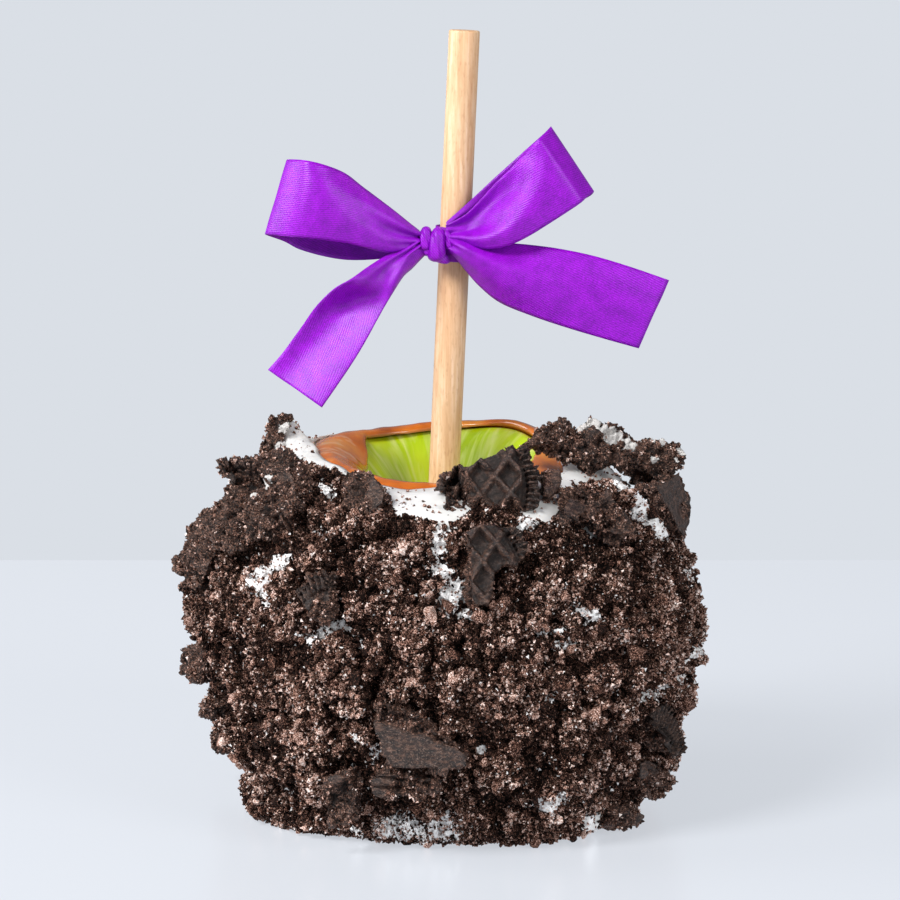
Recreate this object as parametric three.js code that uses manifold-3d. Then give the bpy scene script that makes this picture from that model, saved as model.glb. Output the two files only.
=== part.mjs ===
// A caramel apple on a stick: a whole green fruit dipped in caramel and then in a white sweet coating,
// rolled in crushed cocoa biscuits, with a satin ribbon bow tied round the stick.
// Millimetres, +Z up. The side that is shown first faces -Y. The origin is the middle of the flat base.
import * as THREE from "three";
import { mergeVertices } from "three/addons/utils/BufferGeometryUtils.js";
import Module from "manifold-3d";

const wasm = await Module();
wasm.setup();

const GAP = 0.3; // between any two solids that touch

// The fruit in its caramel. SKIN is the caramel's outside from the middle of the base, round the
// flank and over the crest, and on down the hollow round the stick: radius and height.
const SKIN = [
  [0, 6.9],
  [36.5, 7],
  [42, 10],
  [44.8, 17.5],
  [46, 33.5],
  [45.7, 43],
  [44.3, 52],
  [41.4, 60],
  [37, 66.2],
  [31.7, 70.3],
  [27, 72.8],
  [22.8, 74.4],
  [19.8, 73.7],
  [16.5, 71.2],
  [13, 67.4],
  [8.5, 63],
  [0, 60.4],
];
const CREST = 11; // the point of SKIN on top of the crest
const CARAMEL = 3; // thickness of the caramel on the flank
const CARAMEL_EDGE = 1.3; // and inside the crest, where it was stretched thin
const CARAMEL_THINS = [0.15, 0.05]; // how far before and after the crest, as a share of SKIN, it thins
const WHITE = 2.4; // thickness of the white coating
const CRUMBS = 3.7; // mean thickness of the crumbs
const CARAMEL_RIM = { radius: 18.8, swing: 3.6, wave: 0.8 }; // where each coat stops, round the hollow
const WHITE_RIM = { radius: 25.3, swing: 1, wave: 0.7 };
const CRUMB_RIM = { radius: 33.5, swing: 1, wave: 1.6 };
const RIM_TAPER = 5; // a coat thins over this much radius towards its rim
const WHITE_EDGE = 0.9;
const CRUMB_EDGE = 1.4;
const PLUG = { low: 56, high: 110 }; // heights between which a coat's top is cut open
const LID = { radius: 22.5, low: 60, high: 74.8 }; // closes the hollow where biscuit pieces overhang it
const SEGMENTS = 20; // round the fruit
// Stretches where a coat stops lower and what is under it shows: middle and half width in degrees
// round from the front, and how much lower in millimetres of radius.
const WHITE_BARE = [{ at: 180, wide: 55, drop: 6.5 }];
const CRUMB_BARE = [
  { at: -7, wide: 15, drop: 8 },
  { at: 78, wide: 26, drop: 9.5 },
  { at: 180, wide: 42, drop: 6.5 },
  { at: 262, wide: 16, drop: 4 },
];

// How crooked the fruit stands.
const LEAN = 0.055; // sideways shift for each millimetre of height, towards -X
const LEAN_MIDDLE = 36; // height at which it is centred
const FRONT_SLOPE = 0.125; // the crest falls towards the front
const SIDE_SLOPE = 0.04; // and a little towards +X
const SLOPE_FADES = [23, 44]; // radii between which the slope dies out
const SLOPE_RISES = [20, 62]; // heights between which it comes in

// The lumps of the crumb coat: soft swellings and hollows scattered over it.
const LUMPS = { count: 70, width: 11, high: 2.3, deep: 1.1, seed: 41 };
const HEEL = 12; // below this height the lumps and the lean fade out towards the flat base
const GOLDEN_TURN = Math.PI * (3 - Math.sqrt(5)); // spreads them evenly
const LEVEL = 2; // below this height the coat is pressed flat where it stands

// The stick, a birch dowel.
const STICK = { radius: 3.175, length: 140, top: [4, 0, 161.7], lean: 2.6, sides: 20 };

// The bow, from 16 mm satin ribbon. Each band runs between two edges, given by the points they
// pass through: two loops that leave the knot, turn and come back, and two tails.
const RIBBON_THICK = 0.8;
const KNOT = { at: [-1.8, -5.4, 118.5], size: [4.3, 3.3, 4.7] };
const BAND_ROUND_STICK = { height: 7, thick: 0.9, at: 118 };
const BANDS = [
  {
    // left loop
    upper: [
      [-4.3, -6.5, 121.2], [-20.2, -14, 134.7], [-32, -8, 136.4],
      [-20.5, -1.5, 132.4], [-4.3, -3.6, 121],
    ],
    lower: [
      [-4.3, -6.5, 117.4], [-22.3, -14, 120], [-36.7, -8, 121],
      [-22.6, -1.5, 115.5], [-4.3, -3.6, 117],
    ],
    steps: 13,
  },
  {
    // right loop
    upper: [
      [0.6, -6.5, 122], [12.8, -13, 135.2], [22, -8, 142.5],
      [14.4, -1.5, 135.3], [0.6, -3.6, 121.7],
    ],
    lower: [
      [1, -6.5, 118.1], [18.3, -13, 120.8], [30.6, -8, 129.3],
      [17.5, -1.5, 121.7], [1, -3.6, 117.8],
    ],
    steps: 13,
  },
  {
    // right tail
    upper: [
      [1, -6.6, 119.8], [12.2, -9.5, 119],
      [29.6, -9.5, 116.6], [46.2, -8, 111.3],
    ],
    lower: [
      [1, -6.6, 116.7], [9.6, -9.5, 107.9],
      [24.6, -9.5, 102], [39.8, -8, 97.2],
    ],
    steps: 6,
  },
  {
    // left tail
    upper: [
      [-3.8, -7.2, 118.2], [-16.3, -10, 113.9],
      [-26.2, -14, 106.6], [-35.9, -17, 93.9],
    ],
    lower: [
      [-3.5, -7.2, 116.2], [-10, -9, 110.8],
      [-16.6, -9, 100.1], [-25.4, -9, 85.4],
    ],
    steps: 6,
  },
];

// The larger biscuit pieces. at is a piece's middle; face is the way its outer face looks, in degrees
// round from the front and up from level; turn rolls it on that face; size is width, height and
// thickness; corners gives a broken shard, and rim a piece that keeps the biscuit's ridged edge, on the
// side that it names in degrees.
const PIECES = [
  // the shown side, from the top left round to the right and down
  { at: [-38, -24, 65.5], face: [-52, 12], turn: 2, size: [29, 20, 7], corners: 8 },
  { at: [-35.3, 6, 76], face: [-60, 2], turn: 10, size: [10, 13, 5], corners: 6 },
  { at: [-52.3, -7, 53], face: [-78, 4], turn: 5, size: [11, 18, 6.5], corners: 7 },
  { at: [-52.8, -5, 30.5], face: [-85, -5], turn: 0, size: [8, 9, 6], corners: 6 },
  { at: [-50.2, -10, 20], face: [-78, -10], turn: 15, size: [5, 6.5, 4.5], corners: 6 },
  { at: [-16.5, -33, 70.6], face: [-22, 30], turn: 10, size: [9.5, 9.5, 5.5], corners: 6 },
  { at: [9.5, -30.5, 73.2], face: [8, 30], turn: 0, size: [21, 14, 4], rim: 0 },
  { at: [21.8, -25.5, 71.6], face: [40, 30], turn: 0, size: [5, 7, 4.5], corners: 5 },
  { at: [30.3, -9, 75.6], face: [35, 28], turn: -28, size: [22, 12, 6], corners: 7 },
  { at: [36, 8, 76.6], face: [60, 50], turn: -20, size: [14, 9, 5], corners: 6 },
  { at: [46.3, 3, 72.3], face: [80, 20], turn: 0, size: [10, 11, 7], corners: 7 },
  { at: [47.5, -5, 62.8], face: [75, 12], turn: 6, size: [10, 16, 4.5], corners: 6 },
  { at: [31, -29.5, 67.5], face: [45, 38], turn: 8, size: [14, 14, 4.5], corners: 5 },
  { at: [12.5, -45.5, 59.5], face: [14, 20], turn: 4, size: [16, 18, 4], corners: 8 },
  { at: [-24, -45.5, 51.5], face: [-29, 8], turn: 0, size: [10.5, 9.5, 4], rim: 120 },
  { at: [-5, -52.4, 26.3], face: [-5, -6], turn: -6, size: [22, 13.5, 4.5], corners: 5 },
  { at: [-19.8, -46.8, 13], face: [-24, -12], turn: -5, size: [8.5, 15, 5], corners: 6 },
  { at: [-7.5, -50.2, 15], face: [-8, -12], turn: 0, size: [15, 6.5, 4.5], corners: 6 },
  { at: [46.9, -21, 18.7], face: [66, -10], turn: 0, size: [10, 14, 4], rim: 15 },
  { at: [45.6, -15.5, 9], face: [70, -14], turn: 0, size: [9, 9, 5], corners: 6 },
  { at: [38.5, -24.5, 3.8], face: [57, -20], turn: 0, size: [9, 5.5, 5], corners: 6 },
  // the far side
  { at: [27, 37, 66.5], face: [142, 40], turn: 12, size: [17, 13, 5], corners: 7 },
  { at: [-14, 45.5, 61], face: [197, 25], turn: -8, size: [15, 12, 4.5], rim: 200 },
  { at: [-35, 31, 65], face: [228, 34], turn: 20, size: [16, 12, 5.5], corners: 7 },
  { at: [47.5, 23.5, 48], face: [117, 5], turn: -15, size: [13, 15, 4.5], corners: 6 },
  { at: [8, 52.3, 43], face: [171, 3], turn: 9, size: [18, 13, 4.5], corners: 8 },
  { at: [-42.5, 33, 37], face: [232, -2], turn: 0, size: [14, 12, 4.5], rim: 60 },
  { at: [24.5, 45.5, 20.5], face: [152, -8], turn: -12, size: [16, 11, 5], corners: 7 },
  { at: [-22.5, 45, 15], face: [207, -12], turn: 10, size: [12, 10, 5], corners: 6 },
  { at: [-47, 15, 10], face: [250, -12], turn: 0, size: [9, 9, 5], corners: 6 },
];
const BISCUIT_RADIUS = 22; // of a whole biscuit
const RIDGE = { pitch: 2.2, high: 0.5 }; // of its ridged edge
const CHAMFER = 0.6; // broken edges are rubbed off this much
const POCKET = 0.7; // clearance of the pocket in the crumbs round each piece

// ---- small helpers ----

const smooth = THREE.MathUtils.smoothstep;
const radians = THREE.MathUtils.degToRad;

// A repeatable stream of numbers from 0 to 1.
function stream(seed) {
  let state = seed * 7919 + 13;
  return () => {
    state = (state * 1664525 + 1013904223) % 4294967296;
    return state / 4294967296;
  };
}

function solid(geometry) {
  const bare = geometry.clone();
  bare.deleteAttribute("normal");
  bare.deleteAttribute("uv");
  const merged = mergeVertices(bare, 1e-4);
  const corners = merged.index.array;
  const kept = [];
  for (let i = 0; i < corners.length; i += 3) {
    const [a, b, c] = corners.subarray(i, i + 3);
    if (a !== b && b !== c && a !== c) kept.push(a, b, c);
  }
  return new wasm.Manifold(
    new wasm.Mesh({
      numProp: 3,
      vertProperties: merged.attributes.position.array,
      triVerts: new Uint32Array(kept),
    }),
  );
}

function geometryOf(manifold) {
  const mesh = manifold.getMesh();
  const geometry = new THREE.BufferGeometry();
  geometry.setAttribute("position", new THREE.BufferAttribute(mesh.vertProperties, 3));
  geometry.setIndex(new THREE.BufferAttribute(mesh.triVerts, 1));
  geometry.computeVertexNormals();
  return geometry;
}

// A cut can leave specks behind: the largest body is the piece.
function largest(manifold) {
  return manifold.decompose().reduce((a, b) => (b.volume() > a.volume() ? b : a));
}

// ---- the fruit and its coats ----

const skin = new THREE.SplineCurve(SKIN.map(([r, z]) => new THREE.Vector2(r, z)));
const CREST_T = CREST / (SKIN.length - 1);

// Thickness of the caramel at t along the skin.
function caramelAt(t) {
  const thinned = smooth(t, CREST_T - CARAMEL_THINS[0], CREST_T + CARAMEL_THINS[1]);
  return THREE.MathUtils.lerp(CARAMEL, CARAMEL_EDGE, thinned);
}

// The point of the skin at t, moved outwards by so much.
function onSkin(t, outwards) {
  const point = skin.getPoint(t);
  const along = skin.getTangent(t);
  const radius = Math.max(point.x + along.y * outwards, 0);
  return new THREE.Vector2(t === 0 || t === 1 ? 0 : radius, point.y - along.x * outwards);
}

// The stance of the real fruit: everything that belongs to it leans and slopes together.
function settle(x, y, z) {
  const radius = Math.hypot(x, y);
  const slope = (1 - smooth(radius, ...SLOPE_FADES)) * smooth(z, ...SLOPE_RISES);
  const lift = (FRONT_SLOPE * y - SIDE_SLOPE * x) * slope;
  const leaning = LEAN_MIDDLE - z * smooth(z, 0, HEEL);
  return [x + LEAN * leaning, y, z + lift];
}

// A turned solid whose profile may differ with the angle: profile(angle) gives radius and height
// pairs, always as many, from the axis and back to the axis.
function turned(profile, segments, finish = (x, y, z) => [x, y, z]) {
  const geometry = new THREE.LatheGeometry(profile(0), segments);
  const position = geometry.attributes.position;
  const rows = profile(0).length;
  for (let i = 0; i <= segments; i++) {
    const angle = ((i % segments) / segments) * 2 * Math.PI;
    profile(angle).forEach((point, j) => {
      const x = point.x * Math.sin(angle);
      const y = -point.x * Math.cos(angle);
      position.setXYZ(i * rows + j, ...finish(...settle(x, y, point.y)));
    });
  }
  return solid(geometry);
}

// The radius at which a coat stops, at an angle round from the front.
function rimRadius(rim, angle, bare = []) {
  let radius = rim.radius + rim.swing * Math.sin(angle);
  radius += rim.wave * (Math.sin(3 * angle + 1) + 0.6 * Math.sin(5 * angle + rim.radius));
  for (const { at, wide, drop } of bare) {
    const off = THREE.MathUtils.euclideanModulo(THREE.MathUtils.radToDeg(angle) - at + 180, 360) - 180;
    radius += drop * (1 - smooth(Math.abs(off), wide * 0.5, wide * 1.3));
  }
  return radius;
}

// A closed solid out to a distance from the skin, distance(t, angle). Nested ones share their rows and
// segments, so that the gap between them is even.
function envelope(distance, { rows = SKIN.length - 1, segments = SEGMENTS, finish } = {}) {
  const profile = (angle) =>
    Array.from({ length: rows + 1 }, (_, k) => onSkin(k / rows, distance(k / rows, angle)));
  return turned(profile, segments, finish);
}

// What a coat leaves bare: the upright plug that is cut out of its top.
function plug(rim, bare) {
  const profile = (angle) => {
    const radius = rimRadius(rim, angle, bare);
    return [[0, PLUG.low], [radius, PLUG.low], [radius, PLUG.high], [0, PLUG.high]].map(
      ([r, z]) => new THREE.Vector2(r, z),
    );
  };
  return turned(profile, 2 * SEGMENTS);
}

// How near t is to the rim of a coat, from 0 well outside it to 1 at the rim and inside it.
function nearRim(t, angle, rim, bare) {
  const { x: radius, y: height } = skin.getPoint(t);
  return height < PLUG.low ? 0 : 1 - smooth(radius - rimRadius(rim, angle, bare), 0, RIM_TAPER);
}

// The dowel, or the space for it where the radius is larger.
function dowel(radius) {
  const length = STICK.length + 2 * (radius - STICK.radius);
  return solid(placeOnStick(new THREE.CylinderGeometry(radius, radius, length, STICK.sides)));
}

// Moves a shape that stands on +Y about its own middle to the stick's middle and lean.
function placeOnStick(geometry) {
  geometry.rotateX(Math.PI / 2);
  geometry.translate(0, 0, -STICK.length / 2);
  geometry.rotateY(radians(STICK.lean));
  return geometry.translate(...STICK.top);
}

function fruit() {
  return envelope((t) => -caramelAt(t) - GAP).subtract(dowel(STICK.radius + GAP));
}

function caramel() {
  return envelope(() => 0)
    .subtract(envelope((t) => -caramelAt(t)))
    .subtract(plug(CARAMEL_RIM));
}

function whiteCoating() {
  const outside = (t, angle) =>
    GAP + THREE.MathUtils.lerp(WHITE, WHITE_EDGE, nearRim(t, angle, WHITE_RIM, WHITE_BARE));
  return envelope(outside)
    .subtract(envelope(() => GAP))
    .subtract(plug(WHITE_RIM, WHITE_BARE));
}

// The swellings of the crumb coat, each a direction from the fruit's middle with a height.
function lumps() {
  const next = stream(LUMPS.seed);
  return Array.from({ length: LUMPS.count }, (_, i) => {
    const up = 2 * ((i + 0.5) / LUMPS.count) - 1;
    const round = i * GOLDEN_TURN + next();
    const flat = Math.sqrt(1 - up * up);
    const high = THREE.MathUtils.lerp(-LUMPS.deep, LUMPS.high, next());
    return { to: new THREE.Vector3(flat * Math.sin(round), -flat * Math.cos(round), up), high };
  });
}

function crumbCoat() {
  const swellings = lumps();
  const middle = new THREE.Vector3(0, 0, LEAN_MIDDLE);
  const inside = 2 * GAP + WHITE;
  const outside = (t, angle) =>
    inside + THREE.MathUtils.lerp(CRUMBS, CRUMB_EDGE, nearRim(t, angle, CRUMB_RIM, CRUMB_BARE));
  const swollen = (x, y, z) => {
    const direction = new THREE.Vector3(x, y, z).sub(middle).normalize();
    let swell = 0;
    for (const { to, high } of swellings) {
      const apart = THREE.MathUtils.radToDeg(direction.angleTo(to)) / LUMPS.width;
      swell += high * Math.exp(-apart * apart);
    }
    swell *= smooth(z, 0, HEEL);
    const point = [x + direction.x * swell, y + direction.y * swell, z + direction.z * swell];
    return z < LEVEL ? [x, y, 0] : point;
  };
  return envelope(outside, { rows: 20, segments: 40, finish: swollen })
    .subtract(envelope(() => inside))
    .subtract(plug(CRUMB_RIM, CRUMB_BARE));
}

// Everything under the crumbs, closed over the top, with the gap added: no biscuit piece enters it.
function underCrumbs() {
  const body = envelope(() => 2 * GAP + WHITE);
  const lid = new THREE.CylinderGeometry(LID.radius, LID.radius, LID.high - LID.low, SEGMENTS);
  return body.add(solid(lid.rotateX(Math.PI / 2).translate(0, 0, (LID.high + LID.low) / 2)));
}

// ---- the biscuit pieces ----

// A broken shard: an uneven polygon about as wide and high as asked.
function shardOutline(width, height, corners, next) {
  const points = [];
  for (let i = 0; i < corners; i++) {
    const angle = ((i + 0.5 * next()) / corners) * 2 * Math.PI;
    const reach = 0.5 * (0.86 + 0.26 * next());
    points.push(new THREE.Vector2(width * reach * Math.cos(angle), height * reach * Math.sin(angle)));
  }
  return points;
}

// A piece broken from the biscuit's edge: a ridged arc on the +X side and a break on the other.
function rimOutline(width, height, next) {
  const reach = Math.asin(height / 2 / BISCUIT_RADIUS);
  const ridges = Math.round((2 * reach * BISCUIT_RADIUS) / RIDGE.pitch);
  const points = [];
  for (let i = 0; i <= 2 * ridges; i++) {
    const angle = -reach + (i / ridges) * reach;
    const radius = BISCUIT_RADIUS - (i % 2 ? RIDGE.high : 0);
    const inwards = BISCUIT_RADIUS - width / 2;
    points.push(new THREE.Vector2(radius * Math.cos(angle) - inwards, radius * Math.sin(angle)));
  }
  const breaks = 3;
  for (let i = 1; i < breaks; i++) {
    const up = height * (0.5 - i / breaks) * 0.9;
    points.push(new THREE.Vector2(-width * (0.36 + 0.14 * next()), up));
  }
  return points;
}

// One biscuit piece, grown all round by so much, where it lies.
function biscuitPiece(piece, seed, grown = 0) {
  const [width, height, thick] = piece.size;
  const next = stream(seed);
  const outline = piece.corners
    ? shardOutline(width, height, piece.corners, next)
    : rimOutline(width, height, next);
  const chamfer = grown ? 0 : CHAMFER;
  const widen = 1 + (2 * (grown - chamfer)) / Math.min(width, height);
  const shape = new THREE.Shape(outline.map((p) => p.multiplyScalar(widen)));
  const depth = thick + 2 * grown - 2 * chamfer;
  const geometry = new THREE.ExtrudeGeometry(shape, {
    depth,
    bevelEnabled: chamfer > 0,
    bevelThickness: chamfer,
    bevelSize: chamfer,
    bevelSegments: 1,
  });
  geometry.translate(0, 0, -depth / 2);
  geometry.rotateZ(radians(piece.rim ?? 0));
  geometry.rotateZ(radians(piece.turn));
  const [round, up] = piece.face.map(radians);
  const outwards = new THREE.Vector3(0, -1, 0).applyEuler(new THREE.Euler(-up, 0, round, "ZYX"));
  const right = new THREE.Vector3(Math.cos(round), Math.sin(round), 0);
  const upwards = new THREE.Vector3().crossVectors(outwards, right);
  geometry.applyMatrix4(new THREE.Matrix4().makeBasis(right, upwards, outwards));
  return solid(geometry.translate(...piece.at));
}

// All pieces, each cut clear of the coats below it and of the pieces before it, and the pockets that
// they sit in.
function biscuitPieces() {
  const below = underCrumbs();
  const pieces = [];
  const pockets = [];
  PIECES.forEach((piece, i) => {
    let body = biscuitPiece(piece, i + 1).subtract(below);
    for (const pocket of pockets) body = body.subtract(pocket);
    pieces.push(largest(body));
    pockets.push(biscuitPiece(piece, i + 1, POCKET));
  });
  return { pieces, pockets };
}

// ---- the bow ----

// A band of ribbon between two edges: a thin box bent to run along both.
function band({ upper, lower, steps }) {
  const curves = [upper, lower].map(
    (points) => new THREE.CatmullRomCurve3(points.map((p) => new THREE.Vector3(...p)), false, "centripetal"),
  );
  const edges = (along) => curves.map((curve) => curve.getPoint(THREE.MathUtils.clamp(along, 0, 1)));
  const geometry = new THREE.BoxGeometry(1, 1, 1, steps, 1, 1);
  const position = geometry.attributes.position;
  for (let i = 0; i < position.count; i++) {
    const along = position.getX(i) + 0.5;
    const [top, bottom] = edges(along);
    const middles = [along - 0.01, along + 0.01].map(edges).map(([a, b]) => a.add(b));
    const forwards = middles[1].sub(middles[0]).normalize();
    const across = new THREE.Vector3().subVectors(top, bottom).normalize();
    const outwards = new THREE.Vector3().crossVectors(forwards, across).normalize();
    const point = new THREE.Vector3().lerpVectors(bottom, top, position.getY(i) + 0.5);
    point.addScaledVector(outwards, position.getZ(i) * RIBBON_THICK);
    position.setXYZ(i, point.x, point.y, point.z);
  }
  return solid(geometry);
}

function ribbonBow() {
  const knot = new THREE.SphereGeometry(1, 11, 7).scale(...KNOT.size).translate(...KNOT.at);
  const { height, thick, at } = BAND_ROUND_STICK;
  const radius = STICK.radius + GAP + thick;
  const ring = new THREE.CylinderGeometry(radius, radius, height, STICK.sides);
  ring.translate(0, STICK.length / 2 - (STICK.top[2] - at) / Math.cos(radians(STICK.lean)), 0);
  let bow = solid(knot).add(solid(placeOnStick(ring)));
  for (const one of BANDS) bow = bow.add(band(one));
  return bow.subtract(dowel(STICK.radius + GAP));
}

// ---- the object ----

const LOOKS = {
  fruit: { color: "#97a62a", roughness: 0.45 },
  caramel: { color: "#a8682c", roughness: 0.22 },
  white_coating: { color: "#e4e3e4", roughness: 0.5 },
  crumbs: { color: "#3d2e2b", roughness: 0.95 },
  biscuit: { color: "#35292a", roughness: 0.85 },
  birch: { color: "#e6c596", roughness: 0.6 },
  satin: { color: "#8b1fbd", roughness: 0.4 },
};

const object = new THREE.Group();

function add(name, manifold, look) {
  const material = new THREE.MeshStandardMaterial({ ...LOOKS[look], metalness: 0 });
  const mesh = new THREE.Mesh(geometryOf(manifold), material);
  mesh.name = name;
  object.add(mesh);
}

const { pieces, pockets } = biscuitPieces();
let crumbs = crumbCoat();
for (const pocket of pockets) crumbs = crumbs.subtract(pocket);

add("fruit", fruit(), "fruit");
add("caramel", caramel(), "caramel");
add("white_coating", whiteCoating(), "white_coating");
add("crumb_coat", largest(crumbs), "crumbs");
pieces.forEach((piece, i) => add(`biscuit_piece_${String(i + 1).padStart(2, "0")}`, piece, "biscuit"));
add("stick", dowel(STICK.radius), "birch");
add("ribbon_bow", largest(ribbonBow()), "satin");

export default object;
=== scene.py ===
"""A caramel apple on a stick, rolled in crushed cocoa biscuits, with a satin ribbon bow."""
import math

import bmesh
import bpy
import numpy as np
from mathutils import Matrix, Vector, noise
from mathutils.bvhtree import BVHTree


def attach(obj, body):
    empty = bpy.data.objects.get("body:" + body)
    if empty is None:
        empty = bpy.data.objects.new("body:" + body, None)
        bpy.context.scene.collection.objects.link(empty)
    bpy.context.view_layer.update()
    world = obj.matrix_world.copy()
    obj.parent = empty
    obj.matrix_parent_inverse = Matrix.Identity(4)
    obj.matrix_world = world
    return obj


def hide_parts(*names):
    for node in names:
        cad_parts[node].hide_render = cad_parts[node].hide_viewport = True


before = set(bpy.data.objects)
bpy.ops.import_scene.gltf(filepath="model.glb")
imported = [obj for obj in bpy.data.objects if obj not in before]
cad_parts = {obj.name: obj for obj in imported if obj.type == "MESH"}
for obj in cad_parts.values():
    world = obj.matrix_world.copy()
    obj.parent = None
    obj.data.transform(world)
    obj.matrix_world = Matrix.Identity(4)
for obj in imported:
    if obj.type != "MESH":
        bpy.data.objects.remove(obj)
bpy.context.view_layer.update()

noise.seed_set(7)  # noise_vector would otherwise differ from run to run
MM = 0.001  # everything below is worked out in millimetres and scaled once, in finished()

# The CAD solids' own numbers come first. SKIN is the caramel's outside from the middle of the base,
# round the flank and over the crest, and on down the hollow round the stick: radius and height.
SKIN = np.array([
    (0, 6.9), (36.5, 7), (42, 10), (44.8, 17.5), (46, 33.5), (45.7, 43), (44.3, 52), (41.4, 60),
    (37, 66.2), (31.7, 70.3), (27, 72.8), (22.8, 74.4), (19.8, 73.7), (16.5, 71.2), (13, 67.4),
    (8.5, 63), (0, 60.4),
], float)
CREST_T = 11 / 16  # the top of the crest, as a share of SKIN
FLANK_T = 4 / 16  # the widest place of the flank
GAP = 0.3
# How thick each coat is, and how thick at its rim.
CARAMEL, CARAMEL_EDGE, CARAMEL_THINS = 3, 1.3, (0.15, 0.05)
WHITE, WHITE_EDGE = 2.4, 0.9
CRUMBS, CRUMB_EDGE = 3.7, 1.4
# Where the coats stop: degrees round from the front, and radius. The caramel stops down in the hollow,
# the other two outside the crest.
CARAMEL_RIM = [(0, 21.5), (30, 21.5), (60, 20), (75, 19), (90, 20), (104, 21.8), (120, 22), (150, 20.3),
               (180, 19.6), (210, 19.6), (226, 19.6), (238, 16), (250, 14.6), (270, 14), (290, 15.5),
               (310, 19.5), (330, 21.1), (360, 21.5)]
WHITE_RIM = [(0, 25.2), (20, 25), (40, 25.4), (60, 26.4), (72, 27), (84, 25.8), (100, 26.4), (125, 29),
             (150, 31), (180, 32), (215, 30), (240, 27.6), (262, 25.2), (286, 24), (305, 23.8),
             (324, 24.8), (338, 26.2), (350, 26.4), (360, 25.2)]
CRUMB_RIM = [(0, 38.2), (7, 37.6), (13, 34.6), (21, 34.2), (27, 37.4), (32, 38.4), (38, 37), (48, 34.8),
             (58, 32.6), (68, 33.5), (76, 37.5), (84, 41), (92, 42.6), (108, 42.6), (120, 40.5),
             (135, 37.5), (155, 38.5), (180, 40), (215, 39), (240, 36), (255, 35.4), (267, 34),
             (280, 31.5), (292, 29), (305, 27.4), (318, 27.2), (330, 28.8), (340, 32.5), (350, 36.8),
             (360, 38.2)]
RIM_TAPER = 5  # a coat thins over this distance
RIM_HEIGHT = 56  # and above this height
LEAN, LEAN_MIDDLE, HEEL = 0.055, 36, 12
FRONT_SLOPE, SIDE_SLOPE, SLOPE_FADES, SLOPE_RISES = 0.125, 0.04, (23, 44), (20, 62)
CREST_SWELLS = [(128, 34, 3), (208, 22, -0.8)]  # the crest's own form: degrees, half width, height
LUMPS = {"count": 70, "width": 11, "high": 2.3, "deep": 1.1, "seed": 41}
STICK = {"radius": 3.175, "length": 140, "top": (4, 0, 161.7), "lean": 2.6}
BISCUIT_RADIUS = 22
CHAMFER = 0.6

# How far the flanks stand out (+) or are drawn in (-): height, right side, left side.
FLANKS = [(0, -3.3, 6), (4, -3.3, 2.5), (8.7, -2, -8.5), (13, -2.3, -6), (17.3, -5.5, -1.5),
          (21.6, -4.2, -2), (28, -1.5, -2.6), (33, 0, -1.6), (38.7, 2.2, 0), (47.3, 2.2, 0), (55, 0, 0),
          (90, 0, 0)]
# How far the foot is drawn in (+) or bulges (-): all round, and then in some directions, in radians
# round from the front, with how wide and between which heights it fades out.
FOOT_PULL = 1.6
FOOT_PULLS = [(2.6, -math.pi / 2, 0.8, 2, 19), (1.5, 0, 0.8, 2, 19), (-3.2, -1.02, 0.33, 0, 6),
              (1.2, 0, 0.5, 0, 7), (-2.6, 0.5, 0.5, 0, 7)]

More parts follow.
